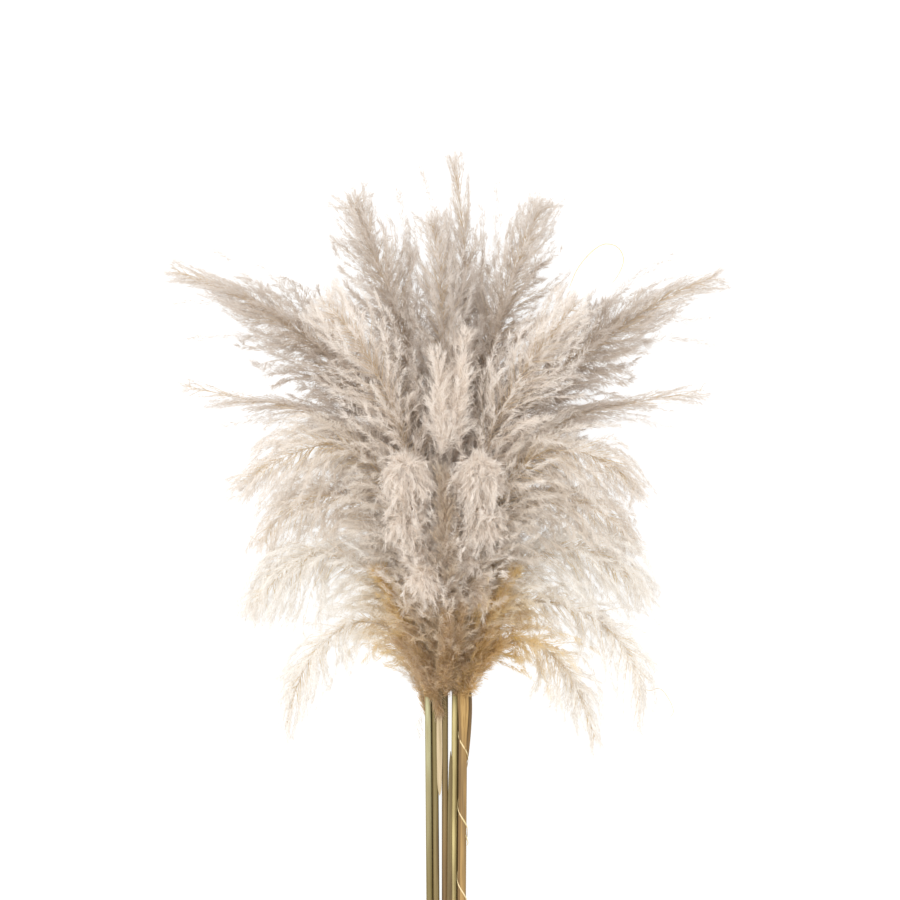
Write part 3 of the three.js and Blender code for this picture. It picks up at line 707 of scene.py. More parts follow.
def grow_mop(line, share, radius, right, pale, settings, rng):
    """Locks that spring from one place on a plume and fall back over it on all sides. They go out by
    radius x (1.4 s - 0.6 s^2), up by 0.6 radius (s - 1.5 s^2), and hang towards the cut ends by 1.1 radius s^2."""
    count = round(MOP_LOCKS * (radius / MOP_FULL_REACH) ** MOP_GROWTH)
    turn = np.arange(count) * GOLDEN_TURN + rng.normal(0, MOP_SCATTER, count)
    size = radius * MM * rng.uniform(*MOP_SIZES, count)[:, None]
    s = np.linspace(0, 1, LOCK_POINTS)[None]
    step = np.array((right, radius * MOP_FORWARD, radius * MOP_RAISED)) * MM
    middle = at(line, "points", share * line.length) + step
    start = middle + rng.normal(0, MOP_ROOTS * radius * MM, (count, 3))
    out = size * (1.4 * s - 0.6 * s * s)
    points = start[:, None] + out[..., None] * np.stack((np.cos(turn), np.sin(turn), 0 * turn), -1)[:, None]
    points[..., 1] -= 1.1 * size * s * s
    points[..., 2] += size * 0.6 * (s - 1.5 * s * s)
    phase = rng.uniform(0, 2 * math.pi, (count, 1, 3))
    points += settings.wave * MOP_WAVE * (np.sin(phase + MOP_PACE * s[..., None]) - np.sin(phase)) * s[..., None]
    axis = np.broadcast_to(middle, points.shape)
    return Locks(
        points, axis, np.full(points.shape[:2], share), np.full(points.shape[:2], MOP_FULLNESS), np.ones(count),
        np.full(count, pale))


def grow_wisp(full, share, path, settings, rng):
    """A wisp: locks that leave its line one after another and run on beside it, away from it by
    wave x full x narrowing x s."""
    line = smooth_line(path)
    spacing, dense = (TUFT_SPACING, TUFT_DENSITY) if share <= DENSE_BELOW else (WISP_SPACING, WISP_DENSITY)
    count = round(line.length / spacing)
    along = line.length * WISP_ROOTS * rng.random(count) ** WISP_BIAS
    run = np.minimum(rng.uniform(*WISP_RUN, count) * MM, line.length - along)
    s = np.linspace(0, 1, LOCK_POINTS)[None]
    distance = along[:, None] + run[:, None] * s
    narrowing = 1 - WISP_NARROWING * distance / line.length
    direction = standing_out(line, distance, rng.uniform(0, 2 * math.pi, count))
    axis = at(line, "points", distance)
    out = settings.wave * full * narrowing * s * rng.uniform(*WISP_SIZES, count)[:, None]
    pale = WISP_PALENESS if share > PALE_ABOVE else 0.0
    return Locks(
        axis + direction * out[..., None], axis, np.full(out.shape, share), narrowing, np.full(count, dense),
        np.full(count, pale))


def map_place(share, line):
    """u on the silk map: half of it is the share of the plume's length, less on a short plume, and half the distance
    from its base up to `NECK_COLOUR`, so that all bases are brown equally far up."""
    return 0.5 * share * min(line.length / FULL_LENGTH, 1) + 0.5 * np.minimum(share * line.length / NECK_COLOUR, 1)


def inside_map(place):
    """A place from 0 to 1 as u, with a little left free at both ends."""
    return place * (1 - 2 * SPARE_U) + SPARE_U


def lumps(points, rng):
    """Soft light and dark patches from -1 to 1: the mean of sines along random directions, `LUMP_SIZE` long."""
    heading = unit(rng.normal(0, 1, (LUMP_WAVES, 3))) * (2 * math.pi / LUMP_SIZE)
    phase = rng.uniform(0, 2 * math.pi, LUMP_WAVES)
    return np.clip(np.sin(points @ heading.T + phase).sum(1) / math.sqrt(LUMP_WAVES), -1, 1)


def along_locks(locks, which, place):
    """The point, direction and nearest step of each hair's root: place runs from 0 to 1 along lock `which`."""
    step = np.minimum(place * (LOCK_POINTS - 1), LOCK_POINTS - 1.001)
    low = step.astype(int)
    rest = (step - low)[:, None]
    before, after = locks[which, low], locks[which, low + 1]
    return before + (after - before) * rest, unit(after - before), low


def slivers(root, tip, width, half, u, root_v, tip_v):
    """Straight hair: each is one long triangle, root - half width, root + half width, tip."""
    points = np.stack((root - width * half, root + width * half, tip), axis=1).reshape(-1, 3)
    triangles = np.arange(len(points)).reshape(-1, 3)
    us = np.stack((u - HAIR_MAP_WIDTH, u + HAIR_MAP_WIDTH, u), axis=1).ravel()
    vs = np.stack((root_v, root_v, tip_v), axis=1).ravel()
    return Surface(points, triangles, np.stack((us, vs), -1)[triangles])


def grow_hair(reed, line, locks, settings, rng):
    """Hair in tufts along each lock. A tuft leaves its lock at about lean x (0.35 + 0.65 fullness) to one side, its
    hairs spread a little round that, and all are bent to the side they hang to. At the place t along its lock a hair
    is (1 - 0.3 t^2) (0.5 + 0.5 fullness) of the full length. v runs from the plume's line to the outermost tips; the
    lumps, the tufts and pale locks move it on or back."""
    lengths = np.linalg.norm(np.diff(locks.points, axis=1), axis=2).sum(1)
    wanted = lengths * 100 * settings.hairs_per_cm * locks.dense
    counts = np.maximum(FEWEST_HAIRS, np.round(wanted)).astype(int)
    which = np.repeat(np.arange(len(lengths)), counts)
    count, tufts = len(which), len(lengths) * TUFTS
    step = (TUFTS * rng.random(count) ** OUTWARD_BIAS).astype(int)
    tuft = which * TUFTS + step
    place = np.clip((step + 0.5 + rng.normal(0, PLACE_SCATTER, count)) / TUFTS, 0, 1)
    root, forward, low = along_locks(locks.points, which, place)
    share, full = locks.share[which, low], locks.full[which, low]
    outward = unit(root - locks.axis[which, low] + 1e-6)
    across = unit(np.cross(forward, OFF_AXIS))
    lift = np.cross(across, forward)
    turn = (rng.uniform(0, 2 * math.pi, tufts)[tuft] + rng.normal(0, TURN_SCATTER, count))[:, None]
    radial = unit(across * np.cos(turn) + lift * np.sin(turn) + outward * OUTWARD_PULL)
    leaning = np.clip(rng.uniform(*LEAN_SIZES, tufts)[tuft] + rng.normal(0, LEAN_SCATTER, count), *LEAN_RANGE)
    lean = (settings.lean * leaning * (0.35 + 0.65 * full))[:, None]
    droop = np.zeros_like(root)
    droop[:, 1] = -reed.hang * HAIR_HANG * smoothstep(share * line.length, *HANG_FREE)
    heading = unit(forward * np.cos(lean) + radial * np.sin(lean) + droop)
    shortening = (1 - 0.3 * place * place) * (0.5 + 0.5 * full)
    length = rng.uniform(*TUFT_LENGTHS, tufts)[tuft] * rng.uniform(*HAIR_LENGTHS, count)
    size = (settings.hair_length * shortening * length)[:, None]
    face = unit(np.cross(heading, outward))
    twist = rng.normal(0, TWIST_SCATTER, count)[:, None]
    width = face * np.cos(twist) + np.cross(heading, face) * np.sin(twist)
    turned = np.sum(np.cross(heading, width) * outward, axis=1, keepdims=True)
    width = np.where(turned > 0, -width, width)
    half = (settings.hair_width / 2 * rng.uniform(*HAIR_WIDTHS, count) * np.sqrt(locks.dense[which]))[:, None]
    root = root + rng.normal(0, ROOT_SCATTER, root.shape)
    tip = root + heading * size
    tone = (
        map_place(share, line) + rng.normal(0, LOCK_TONE_SCATTER, len(lengths))[which]
        + rng.normal(0, HAIR_TONE_SCATTER, count))
    patch = (
        settings.patchiness * lumps(root, rng) + locks.pale[which]
        + rng.normal(0, TUFT_PALENESS_SCATTER, tufts)[tuft])
    # Low v takes the silk's painted root shade, and high v its pale tips.
    root_v, tip_v = (
        np.clip(ROOT_V + (TIP_V - ROOT_V) * (v + patch), ROOT_V, TIP_V) for v in (0.5 * place, 0.5 + 0.5 * place))
    return slivers(root, tip, width, half, inside_map(np.clip(tone, 0, 1)), root_v, tip_v)


def grow_glumes(line, locks, settings, rng, hair_pairs):
    """Glumes close to the locks: short broad slivers, each a root, a left and a right side halfway up, and a tip."""
    count = round(hair_pairs * settings.glume_share)
    which = rng.integers(0, len(locks.points), count)
    root, forward, low = along_locks(locks.points, which, rng.random(count) * GLUMES_UP_TO)
    radial = unit(rng.normal(0, 1, root.shape))
    heading = unit(forward + radial * GLUME_LEAN)
    width = unit(np.cross(heading, rng.normal(0, 1, root.shape)))
    size = rng.uniform(*GLUME_LENGTHS, count)[:, None] * MM
    half = rng.uniform(*GLUME_HALF_WIDTHS, count)[:, None] * MM
    middle = root + heading * size * 0.5
    points = np.stack((root, middle - width * half, middle + width * half, root + heading * size), axis=1)
    first = np.arange(count)[:, None] * 4
    triangles = np.stack((first + (0, 1, 2), first + (1, 3, 2)), axis=1).reshape(-1, 3)
    u = inside_map(map_place(locks.share[which, low], line))
    us = np.stack((u, u - HAIR_MAP_WIDTH, u + HAIR_MAP_WIDTH, u), axis=1).ravel()
    vs = np.tile(GLUME_BAND, count)
    return Surface(points.reshape(-1, 3), triangles, np.stack((us, vs), -1)[triangles])


def grow_stalks(line, locks):
    """The rachis, a tube along the plume's line whose radius is 2.3 - 2.15 t^0.6 millimetres at the share t of the
    plume's length, and a thin ribbon along each lock."""
    distance = np.linspace(0, line.length * RACHIS_UP_TO, RACHIS_RINGS)
    radius = (2.3 - 2.15 * (distance / line.length) ** 0.6) * MM
    rachis = tubes(
        at(line, "points", distance)[None], at(line, "side", distance)[None], at(line, "up", distance)[None],
        radius[None], radius[None], RACHIS_SIDES)
    steps = np.linspace(0, LOCK_POINTS - 2, BRANCHLET_POINTS).round().astype(int)
    centres = locks.points[:, steps]
    side = unit(np.cross(np.gradient(centres, axis=1), OFF_AXIS))
    return rachis, ribbons(centres, side, np.linspace(*BRANCHLET_HALF_WIDTHS, BRANCHLET_POINTS) * MM)


def place_in_scene(name, data):
    """A new object in the scene, with this data."""
    made = bpy.data.objects.new(name, data)
    bpy.context.scene.collection.objects.link(made)
    return made


def make_piece(name, surfaces, materials, replaced, silky=True):
    """Joins surfaces in one mesh object that rides on the bunch and may stand for a CAD node. Heights near the
    ceiling are drawn in as ceiling - softness x e^(-over / softness). Hair that would reach below the table rests on
    it, each a little higher or lower than the last."""
    starts = np.cumsum([0] + [len(s.points) for s in surfaces])
    points = np.concatenate([s.points for s in surfaces])
    over = np.maximum(points[:, 2] - CEILING + CEILING_SOFTNESS, 0)
    points[:, 2] -= over - CEILING_SOFTNESS * (1 - np.exp(-over / CEILING_SOFTNESS))
    if silky:
        resting = TABLE_CLEARANCE + RESTING_DEPTH * (np.arange(len(points)) // 3 * GOLDEN_TURN % 1)
        points[:, 2] = np.maximum(points[:, 2], resting)
    triangles = np.concatenate([s.triangles + start for s, start in zip(surfaces, starts)])
    corners = np.concatenate([s.corners.reshape(-1, 2) for s in surfaces])
    worn = np.concatenate([np.full(len(s.triangles), s.material) for s in surfaces])
    mesh = bpy.data.meshes.new(name)
    mesh.from_pydata(points, [], triangles)
    if silky:
        mesh.uv_layers.new(name=SILK_MAP).data.foreach_set("uv", corners.ravel())
    mesh.polygons.foreach_set("material_index", worn.astype(np.int32))
    mesh.polygons.foreach_set("use_smooth", np.ones(len(triangles), bool))
    for material in materials:
        mesh.materials.append(material)
    mesh.update()
    if not silky:
        mesh.set_sharp_from_angle(angle=SHARP_ANGLE)
    piece = place_in_scene(name, mesh)
    if replaced:
        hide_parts(replaced)
    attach(piece, BODY)
    return piece


def add_node(tree, kind, inputs=None, stops=None, **settings):
    """Adds one node: settings are its own values, inputs are values or sockets to link, stops are a ramp's colours."""
    made = tree.nodes.new(kind)
    for key, value in settings.items():
        setattr(made, key, value)
    for key, value in (inputs or {}).items():
        if isinstance(value, bpy.types.NodeSocket):
            tree.links.new(value, made.inputs[key])
        else:
            made.inputs[key].default_value = value
    if stops:
        ramp = made.color_ramp
        while len(ramp.elements) < len(stops):
            ramp.elements.new(1.0)
        for element, (position, colour) in zip(ramp.elements, stops):
            element.position = position
            element.color = (*colour, 1.0) if hasattr(colour, "__len__") else (colour, colour, colour, 1.0)
    return made


def new_material(name):
    """An empty node material with its output, ready for a surface."""
    material = bpy.data.materials.new(name)
    material.use_nodes = True
    material.node_tree.nodes.clear()
    return material, material.node_tree, add_node(material.node_tree, "ShaderNodeOutputMaterial")


def mixed(a, b, share):
    """The colour a share of the way from a to b."""
    return tuple(p + (q - p) * share for p, q in zip(a, b))


def silk_material(name, neck, shoulder, body, tip, branchlet):
    """Dried pampas silk: fine plant hair, dull and soft, with painted shade towards the root, where the hair grows
    close together and shades itself, and nearly white at its fine end. Its sheen gives the plume its pale edge."""
    material, tree, output = new_material(name)
    place = add_node(tree, "ShaderNodeUVMap", uv_map=SILK_MAP).outputs["UV"]
    split = add_node(tree, "ShaderNodeSeparateXYZ", {0: place})
    up_plume, up_hair = split.outputs["X"], split.outputs["Y"]
    growth = add_node(tree, "ShaderNodeValToRGB", {0: up_plume}, stops=(
        (0.0, neck), (0.12, neck), (0.28, shoulder), (0.48, body), (0.82, body), (0.96, tip)))
    # Painted shade: the colour darkens towards each hair's root, deep inside the plume, where the outer hair would
    # shade it.
    painted_root_shade = add_node(tree, "ShaderNodeValToRGB", {0: up_hair}, stops=(
        (ROOT_V, (0.80, 0.74, 0.67)), (0.48, (1, 1, 1))))
    shaded = add_node(
        tree, "ShaderNodeMix", {0: 1.0, 6: growth.outputs[0], 7: painted_root_shade.outputs[0]}, data_type="RGBA",
        blend_type="MULTIPLY")
    whitening = add_node(tree, "ShaderNodeMapRange", {0: up_hair, 1: 0.5, 2: 1.0, 3: 0.0, 4: 0.5})
    whitened = add_node(
        tree, "ShaderNodeMix", {0: whitening.outputs[0], 6: shaded.outputs[2], 7: (*tip, 1)}, data_type="RGBA")
    # Each hair differs from its neighbours.
    spread = add_node(tree, "ShaderNodeVectorMath", {0: place, 1: STREAK_SCALE}, operation="MULTIPLY")
    streak = add_node(tree, "ShaderNodeTexNoise", {"Vector": spread.outputs[0], "Scale": 1.0, "Detail": 2.0})
    tint = add_node(tree, "ShaderNodeValToRGB", {0: streak.outputs[0]}, stops=(
        (0.32, (0.84, 0.80, 0.76)), (0.5, (0.98, 0.97, 0.96)), (0.7, (1, 1, 1))))
    streaked = add_node(
        tree, "ShaderNodeMix", {0: 1.0, 6: whitened.outputs[2], 7: tint.outputs[0]}, data_type="RGBA",
        blend_type="MULTIPLY")
    woody = add_node(tree, "ShaderNodeMath", {0: up_hair, 1: BAND_TOP}, operation="LESS_THAN")
    bark = add_node(tree, "ShaderNodeMix", {0: 0.5, 6: growth.outputs[0], 7: (*branchlet, 1)}, data_type="RGBA")
    colour = add_node(
        tree, "ShaderNodeMix", {0: woody.outputs[0], 6: streaked.outputs[2], 7: bark.outputs[2]}, data_type="RGBA")
    roughness = add_node(tree, "ShaderNodeMapRange", {0: streak.outputs[0], 1: 0.3, 2: 0.7, 3: 0.6, 4: 0.85})
    surface = add_node(tree, "ShaderNodeBsdfPrincipled", {
        "Base Color": colour.outputs[2], "Roughness": roughness.outputs[0], "Specular IOR Level": 0.3,
        "Sheen Weight": 0.15, "Sheen Roughness": 0.5})
    through = add_node(tree, "ShaderNodeBsdfTranslucent", {"Color": colour.outputs[2]})
    silk = add_node(tree, "ShaderNodeMixShader", {0: 0.5, 1: surface.outputs[0], 2: through.outputs[0]})
    tree.links.new(silk.outputs[0], output.inputs["Surface"])
    return material


def stalk_material(name, body, dark_weathering_and_side_shade, lower):
    """Dried reed stalk or leaf: a hard straw skin with fine lengthwise fibres, which weathers from green to brown
    along its length. Its sides, where neighbouring stalks would shade it, are darkened with painted shade. The fibres
    catch the light in long lines."""
    material, tree, output = new_material(name)
    coordinates = add_node(tree, "ShaderNodeTexCoord")
    place = coordinates.outputs["Object"]
    fibre_place = add_node(tree, "ShaderNodeMapping", {0: place, 3: FIBRE_SCALE})
    fibre = add_node(tree, "ShaderNodeTexNoise", {"Vector": fibre_place.outputs[0], "Scale": 1.0, "Detail": 3.0})
    slow_place = add_node(tree, "ShaderNodeMapping", {0: place, 3: WEATHER_SCALE})
    slow = add_node(tree, "ShaderNodeTexNoise", {"Vector": slow_place.outputs[0], "Scale": 1.0, "Detail": 2.0})
    height = add_node(tree, "ShaderNodeSeparateXYZ", {0: place}).outputs["Y"]
    falling = add_node(
        tree, "ShaderNodeMapRange", {0: height, 1: WEATHER_FALL[0], 2: WEATHER_FALL[1], 3: 0.0, 4: 1.0})
    skin = add_node(
        tree, "ShaderNodeMix", {0: falling.outputs[0], 6: (*body, 1), 7: (*lower, 1)}, data_type="RGBA")
    weathered = add_node(tree, "ShaderNodeMapRange", {0: slow.outputs[0], 1: 0.34, 2: 0.56, 3: 0.75, 4: 0.0})
    # Painted shade: where the object normal points left or right, the sides are darkened towards the shade colour,
    # standing in for the neighbouring stalks' shadow.
    sideways = add_node(tree, "ShaderNodeSeparateXYZ", {0: coordinates.outputs["Normal"]}).outputs["X"]
    flank = add_node(tree, "ShaderNodeMath", {0: sideways}, operation="ABSOLUTE")
    painted_side_shade = add_node(tree, "ShaderNodeMapRange", {0: flank.outputs[0], 1: 0.55, 2: 1.0, 3: 0.0, 4: 0.6})
    # The darker of the random weathering and the painted side shade.
    worn = add_node(
        tree, "ShaderNodeMath", {0: weathered.outputs[0], 1: painted_side_shade.outputs[0]}, operation="MAXIMUM")
    ground = add_node(
        tree, "ShaderNodeMix", {0: worn.outputs[0], 6: skin.outputs[2], 7: (*dark_weathering_and_side_shade, 1)}, data_type="RGBA")
    lines = add_node(tree, "ShaderNodeValToRGB", {0: fibre.outputs[0]}, stops=(
        (0.3, (0.66, 0.6, 0.5)), (0.5, (0.95, 0.94, 0.92)), (0.7, (1, 1, 1))))
    colour = add_node(
        tree, "ShaderNodeMix", {0: 1.0, 6: ground.outputs[2], 7: lines.outputs[0]}, data_type="RGBA",
        blend_type="MULTIPLY")
    bump = add_node(
        tree, "ShaderNodeBump", {"Strength": 0.5, "Distance": FIBRE_RELIEF, "Height": fibre.outputs[0]})
    gloss = add_node(tree, "ShaderNodeMapRange", {0: fibre.outputs[0], 1: 0.3, 2: 0.7, 3: 0.7, 4: 0.45})
    surface = add_node(tree, "ShaderNodeBsdfPrincipled", {
        "Base Color": colour.outputs[2], "Roughness": gloss.outputs[0], "Normal": bump.outputs[0],
        "Specular IOR Level": 0.4})
    tree.links.new(surface.outputs[0], output.inputs["Surface"])
    return material


def pith_material(colour):
    """Reed pith: pale, open and dull, with dark pores."""
    material, tree, output = new_material("Reed pith")
    place = add_node(tree, "ShaderNodeTexCoord").outputs["Object"]
    pores = add_node(tree, "ShaderNodeTexVoronoi", {"Vector": place, "Scale": PORE_SCALE})
    ramp = add_node(tree, "ShaderNodeValToRGB", {0: pores.outputs["Distance"]}, stops=(
        (0.1, mixed(colour, (0.2, 0.15, 0.08), 0.6)), (0.4, colour)))
    surface = add_node(tree, "ShaderNodeBsdfPrincipled", {"Base Color": ramp.outputs[0], "Roughness": 0.9})
    tree.links.new(surface.outputs[0], output.inputs["Surface"])
    return material


def floor_material(colour):
    """Opal light table: a matt white sheet lit evenly from below, so that nothing on it throws a dark shadow."""
    material, tree, output = new_material("Opal light table")
    place = add_node(tree, "ShaderNodeTexCoord").outputs["Object"]
    cloud = add_node(tree, "ShaderNodeTexNoise", {"Vector": place, "Scale": CLOUD_SCALE})
    ramp = add_node(tree, "ShaderNodeValToRGB", {0: cloud.outputs[0]}, stops=(
        (0.3, mixed(colour, (0, 0, 0), 0.1)), (0.7, colour)))
    surface = add_node(tree, "ShaderNodeBsdfPrincipled", {
        "Base Color": ramp.outputs[0], "Roughness": 0.9, "Specular IOR Level": 0.0,
        "Emission Color": (1, 1, 1, 1), "Emission Strength": 0.96})
    tree.links.new(surface.outputs[0], output.inputs["Surface"])
    return material


def picked(colours, *names):
    """The colours of these names as plain values."""
    return [tuple(getattr(colours, name)) for name in names]


class PAMPAS_OT_plumes(bpy.types.Operator):
    """Grow the 22 silky plumes on their lines"""

    bl_idname = "pampas.plumes"
    bl_label = "Grow plumes"

    def execute(self, context):
        settings, colours = context.scene.pampas_silk, context.scene.pampas_colours
        silks = {}
        for tone, bases in SILK_BASES.items():
            neck, shoulder, body, tip, branchlet = picked(colours, *bases, tone, "silk_tip", "branchlet")
            silks[tone] = silk_material(
                f"Pampas silk {tone}", neck, shoulder, body, mixed(body, tip, SILK_TIP_SHARE), branchlet)
        for index, (name, reed) in enumerate(REEDS.items()):
            rng = np.random.default_rng((settings.seed, index))
            line = plume_line(reed)
            grown = [grow_locks(reed, line, settings, rng)]
            grown += [grow_mop(line, *mop, settings, rng) for mop in MOPS.get(name, ())]
            grown += [grow_wisp(full, share, path, settings, rng) for full, share, *path in WISPS.get(name, ())]
            locks = Locks(*(np.concatenate(parts) for parts in zip(*grown)))
            hair = grow_hair(reed, line, locks, settings, rng)
            glumes = grow_glumes(line, locks, settings, rng, len(hair.triangles) // 2)
            surfaces = (hair, glumes, *grow_stalks(line, grown[0]))
            make_piece(f"silk_{name}", surfaces, (silks[reed.tone],), f"plume_{name}")
        return {"FINISHED"}


def dry_skin(colours, tone):
    """The stalk material of one tone, with its darkest weathering, which is also painted on its sides as shade, and
    its colour towards the cut end.
    """
    return stalk_material(f"Reed skin {tone}", *picked(colours, tone, *STALK_CHANGES[tone]))


def stalk_line(reed, index):
    """Both ends of a stalk's straight line, in metres, from the cut end to the plume."""
    x, z = seat_of(reed)
    cut_end = CUT_END_Y + CUT_SPREAD * math.sin(index * CUT_TURN)
    start, end = (x + COLUMN_CLOSING[reed.seat[0]], cut_end, z), (x, reed.start + STALK_OVERLAP, z)
    return np.array(start) * MM, np.array(end) * MM


def on_stalk(reed, index, y):
    """The points of a stalk's straight line at each height y across the bunch."""
    start, end = stalk_line(reed, index)
    return start + (end - start) * ((y - start[1]) / (end[1] - start[1]))[..., None]


def stalk_surfaces(reed, index, settings):
    """A stalk: a slightly tapering skin that turns in over the rind at the cut end, and the pith inside it, which lies
    a little below the cut."""
    start, end = stalk_line(reed, index)
    length = end[1] - start[1]
    radius, hollow = settings.radius, settings.radius - settings.rind
    skin_y = np.concatenate((np.array(CUT_DEPTHS) * MM, np.linspace(SKIN_START * MM, length, STALK_RINGS)))
    skin_radius = np.concatenate((
        (hollow, hollow, STALK_TAPER * radius, radius), radius * np.linspace(1, STALK_TAPER, STALK_RINGS)))
    pith_y = np.array(PITH_DEPTHS) * MM
    pith_radius = np.full(2, hollow + PITH_OVERLAP * MM)
    surfaces = []
    for y, ring, material in ((skin_y, skin_radius, 0), (pith_y, pith_radius, 1)):
        centres = on_stalk(reed, index, start[1] + y)[None]
        side = np.broadcast_to((1.0, 0, 0), centres.shape)
        up = np.broadcast_to((0, 0, 1.0), centres.shape)
        surfaces.append(tubes(centres, side, up, ring[None], ring[None], STALK_SIDES)._replace(material=material))
    return surfaces


def waves(base, terms, turn):
    """The base + the sum of height x sin(pace x turn) over the terms."""
    return base + sum(height * np.sin(pace * turn) for height, pace in terms)


def sheath_surface(reed, index):
    """The leaf sheath: a blade rolled once round the stalk and a little over itself. At the turn t its radius is
    radius + lap x t / 2 pi, it stands off towards its ragged top, and ribs run along it. Its outer side runs round and
    its inner side runs back."""
    turn = np.linspace(0, SHEATH_WRAP, SHEATH_SIDES)
    top = waves(SHEATH_TOP, SHEATH_TOP_WAVES, turn)
    bottom = waves(SHEATH_BOTTOM, SHEATH_BOTTOM_WAVES, turn)
    y = (bottom + (top - bottom) * np.linspace(0, 1, SHEATH_RINGS)[:, None]) * MM
    flare = SHEATH_FLARE * smoothstep(y, *SHEATH_OPENING)
    radius = (SHEATH_RADIUS + SHEATH_LAP * turn / (2 * math.pi) + flare) * MM * waves(1, SHEATH_RIBS, turn)
    angle = SHEATH_SEAM - turn
    spoke = np.stack((np.cos(angle), 0 * angle, np.sin(angle)), -1)
    axis = on_stalk(reed, index, y)
    outer = axis + radius[..., None] * spoke
    inner = axis + (radius - SHEATH_THICKNESS * MM)[..., None] * spoke
    loop = np.concatenate((outer, inner[:, ::-1]), axis=1)
    around = 2 * SHEATH_SIDES
    first = np.arange(SHEATH_SIDES - 1)[:, None]
    opposite = around - 1 - first
    cap = np.concatenate((
        np.hstack((first, opposite, opposite - 1)), np.hstack((first, opposite - 1, first + 1))))
    far_cap = cap[:, ::-1] + (SHEATH_RINGS - 1) * around
    triangles = np.concatenate((grid_triangles(1, SHEATH_RINGS, around), cap, far_cap))
    return Surface(loop.reshape(-1, 3), triangles, np.zeros((len(triangles), 3, 2)))


def strip_surface(path, half_width, half_thickness):
    """A narrow strip of dry leaf or a fibre along a path: a flat tube, drawn in at both ends. At the share t of its
    length it is sqrt(1 - (2 t - 1)^6) of its full width, with a slow wave of 0.12 t sin(9 t) in it."""
    line = smooth_line(path)
    distance = np.linspace(0, line.length, STRIP_RINGS)
    share = distance / line.length
    shape = np.sqrt(np.clip(1 - (2 * share - 1) ** 6, 0.02, 1)) * (1 - 0.12 * np.sin(9 * share) * share)
    centres, side, up = (at(line, field, distance)[None] for field in ("points", "side", "up"))
    return tubes(centres, side, up, half_width * MM * shape[None], half_thickness * MM * shape[None], STRIP_SIDES)


def strand_surface(reed, index, settings):
    """The strand: a flat ribbon on a helix round the sheath. With e the even turn, its turn is e + haste sin e, so it
    crosses the front more steeply than the back."""
    y = STRAND_START_Y - np.linspace(0, STRAND_TURNS, STRAND_RINGS) * STRAND_PITCH
    even = (STRAND_FRONT_Y - y) / STRAND_PITCH * 2 * math.pi
    turn = even + STRAND_HASTE * np.sin(even)
    radial = np.stack((np.sin(turn), 0 * turn, np.cos(turn)), -1)
    line = line_through(on_stalk(reed, index, y * MM) + STRAND_CLEAR * MM * radial)
    up = unit(radial - line.tangent * np.sum(radial * line.tangent, axis=1, keepdims=True))
    half = np.ones((1, STRAND_RINGS)) / 2
    return tubes(
        line.points[None], np.cross(line.tangent, up)[None], up[None], settings.strand_width * half,
        settings.strand_thickness * half, STRIP_SIDES)


class PAMPAS_OT_stalks(bpy.types.Operator):
    """Make the 22 stalks"""

    bl_idname = "pampas.stalks"
    bl_label = "Make stalks"

    def execute(self, context):
        settings, colours = context.scene.pampas_stalks, context.scene.pampas_colours
        skins = {tone: dry_skin(colours, tone) for tone in (*STALK_TONES, "sheath")}
        pith = pith_material(tuple(colours.pith))
        for index, (name, reed) in enumerate(REEDS.items()):
            tone = "sheath" if reed.sheathed else STALK_TONES[reed.seat[0]]
            surfaces = stalk_surfaces(reed, index, settings)
            if reed.sheathed:
                surfaces.append(sheath_surface(reed, index))
            make_piece(f"stalk_{name}", surfaces, (skins[tone], pith), f"stem_{name}", silky=False)
        return {"FINISHED"}


class PAMPAS_OT_leaves(bpy.types.Operator):
    """Make the strand, the strips of dry leaf between the stalks and the loose fibres"""

    bl_idname = "pampas.leaves"
    bl_label = "Make leaves"

    def execute(self, context):
        settings, colours = context.scene.pampas_stalks, context.scene.pampas_colours
        index, reed = next((k, reed) for k, reed in enumerate(REEDS.values()) if reed.sheathed)
        # Straw is the fibre's weathering and also its painted side shade.
        fibre = stalk_material("Leaf fibre", *picked(colours, "strand", "straw", "strand"))
        ribbon = strand_surface(reed, index, settings)
        make_piece("strand_ribbon", [ribbon], (fibre,), "strand", silky=False)
        for name, (tone, half_width, *path) in LEAF_STRIPS.items():
            surface = strip_surface(path, half_width, STRIP_THICKNESS / 2)
            make_piece(f"strip_{name}", [surface], (dry_skin(colours, tone),), None, silky=False)
        for name, (half_width, *path) in FIBRES.items():
            surface = strip_surface(path, half_width, half_width)
            make_piece(f"fibre_{name}", [surface], (fibre,), None, silky=False)
        return {"FINISHED"}


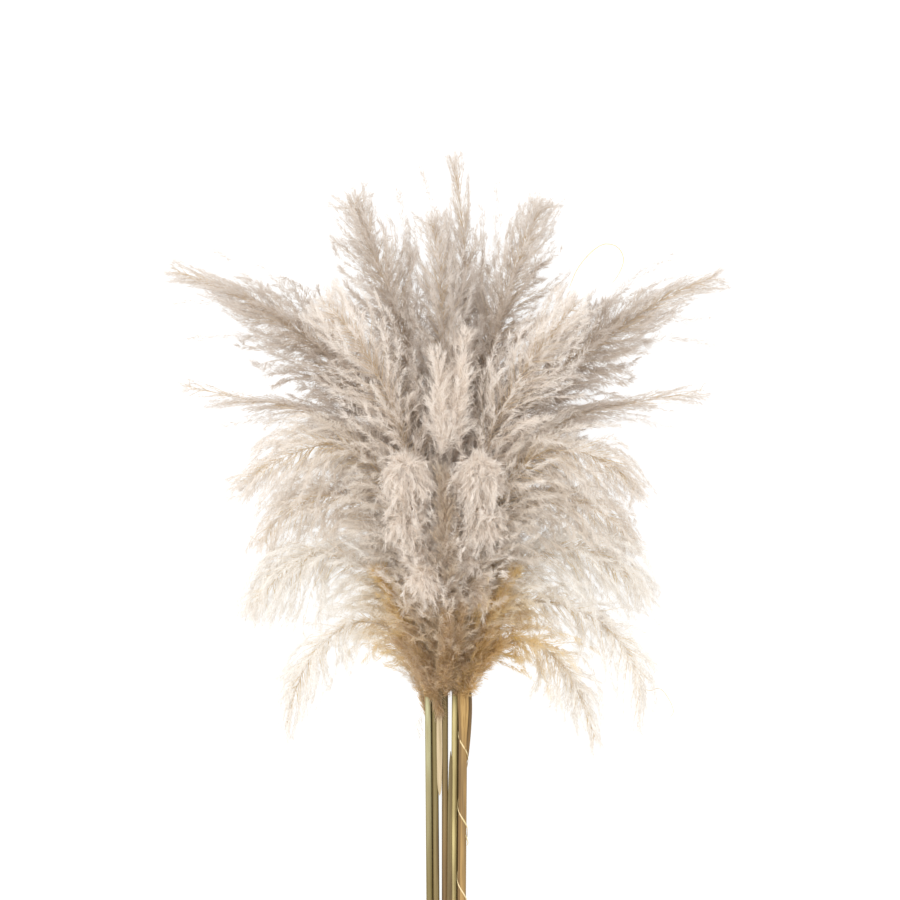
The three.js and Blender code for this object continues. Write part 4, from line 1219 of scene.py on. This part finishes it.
class PAMPAS_OT_studio(bpy.types.Operator):
    """Set up the floor, the light and the camera"""

    bl_idname = "pampas.studio"
    bl_label = "Set up studio"

    def execute(self, context):
        scene, studio, colours = context.scene, context.scene.pampas_studio, context.scene.pampas_colours
        mesh = bpy.data.meshes.new("floor")
        corners = [(x * FLOOR_HALF, y * FLOOR_HALF, 0) for x, y in ((-1, -1), (1, -1), (1, 1), (-1, 1))]
        mesh.from_pydata(corners, [], ((0, 1, 2, 3),))
        mesh.materials.append(floor_material(tuple(colours.floor)))
        floor = place_in_scene("floor", mesh)
        softbox = bpy.data.lights.new("softbox", "AREA")
        softbox.shape = "SQUARE"
        softbox.size = SOFTBOX_SIZE
        softbox.energy = studio.lamp_power
        lamp = place_in_scene("softbox", softbox)
        lamp.location = SOFTBOX_PLACE
        lamp.rotation_euler = (Vector(SOFTBOX_AIM) - lamp.location).to_track_quat("-Z", "Y").to_euler()
        world = bpy.data.worlds.new("studio")
        world.use_nodes = True
        sky = world.node_tree.nodes["Background"]
        sky.inputs["Color"].default_value = (1, 1, 1, 1)
        sky.inputs["Strength"].default_value = studio.sky_strength
        scene.world = world
        camera = place_in_scene("camera", bpy.data.cameras.new("camera"))
        camera.data.sensor_width = SENSOR_WIDTH
        camera.data.lens = SENSOR_WIDTH * studio.camera_height / studio.view_width
        camera.data.clip_end = CLIP_END
        camera.location = (*VIEW_CENTRE, studio.camera_height)
        scene.camera = camera
        scene.view_settings.view_transform = "Standard"
        return {"FINISHED"}


class PAMPAS_PT_panel(bpy.types.Panel):
    """The bunch's pieces and their sizes"""

    bl_idname = "PAMPAS_PT_panel"
    bl_label = "Pampas bunch"
    bl_space_type = "VIEW_3D"
    bl_region_type = "UI"
    bl_category = "Pampas"

    def draw(self, context):
        for operator in OPERATORS:
            self.layout.operator(operator.bl_idname)
        for name, group in GROUPS.items():
            box = self.layout.box()
            for key in group.__annotations__:
                box.prop(getattr(context.scene, name), key)


GROUPS = {
    "pampas_silk": PampasSilkSettings,
    "pampas_stalks": PampasStalkSettings,
    "pampas_colours": PampasColours,
    "pampas_studio": PampasStudio,
}
OPERATORS = (PAMPAS_OT_plumes, PAMPAS_OT_stalks, PAMPAS_OT_leaves, PAMPAS_OT_studio)


def register():
    for cls in (*GROUPS.values(), *OPERATORS, PAMPAS_PT_panel):
        bpy.utils.register_class(cls)
    for name, group in GROUPS.items():
        setattr(bpy.types.Scene, name, bpy.props.PointerProperty(type=group))


def unregister():
    for name in GROUPS:
        delattr(bpy.types.Scene, name)
    for cls in (PAMPAS_PT_panel, *OPERATORS, *GROUPS.values()):
        bpy.utils.unregister_class(cls)


def main():
    register()
    bpy.ops.pampas.plumes()
    bpy.ops.pampas.stalks()
    bpy.ops.pampas.leaves()
    bpy.ops.pampas.studio()


if __name__ == "__main__":
    main()
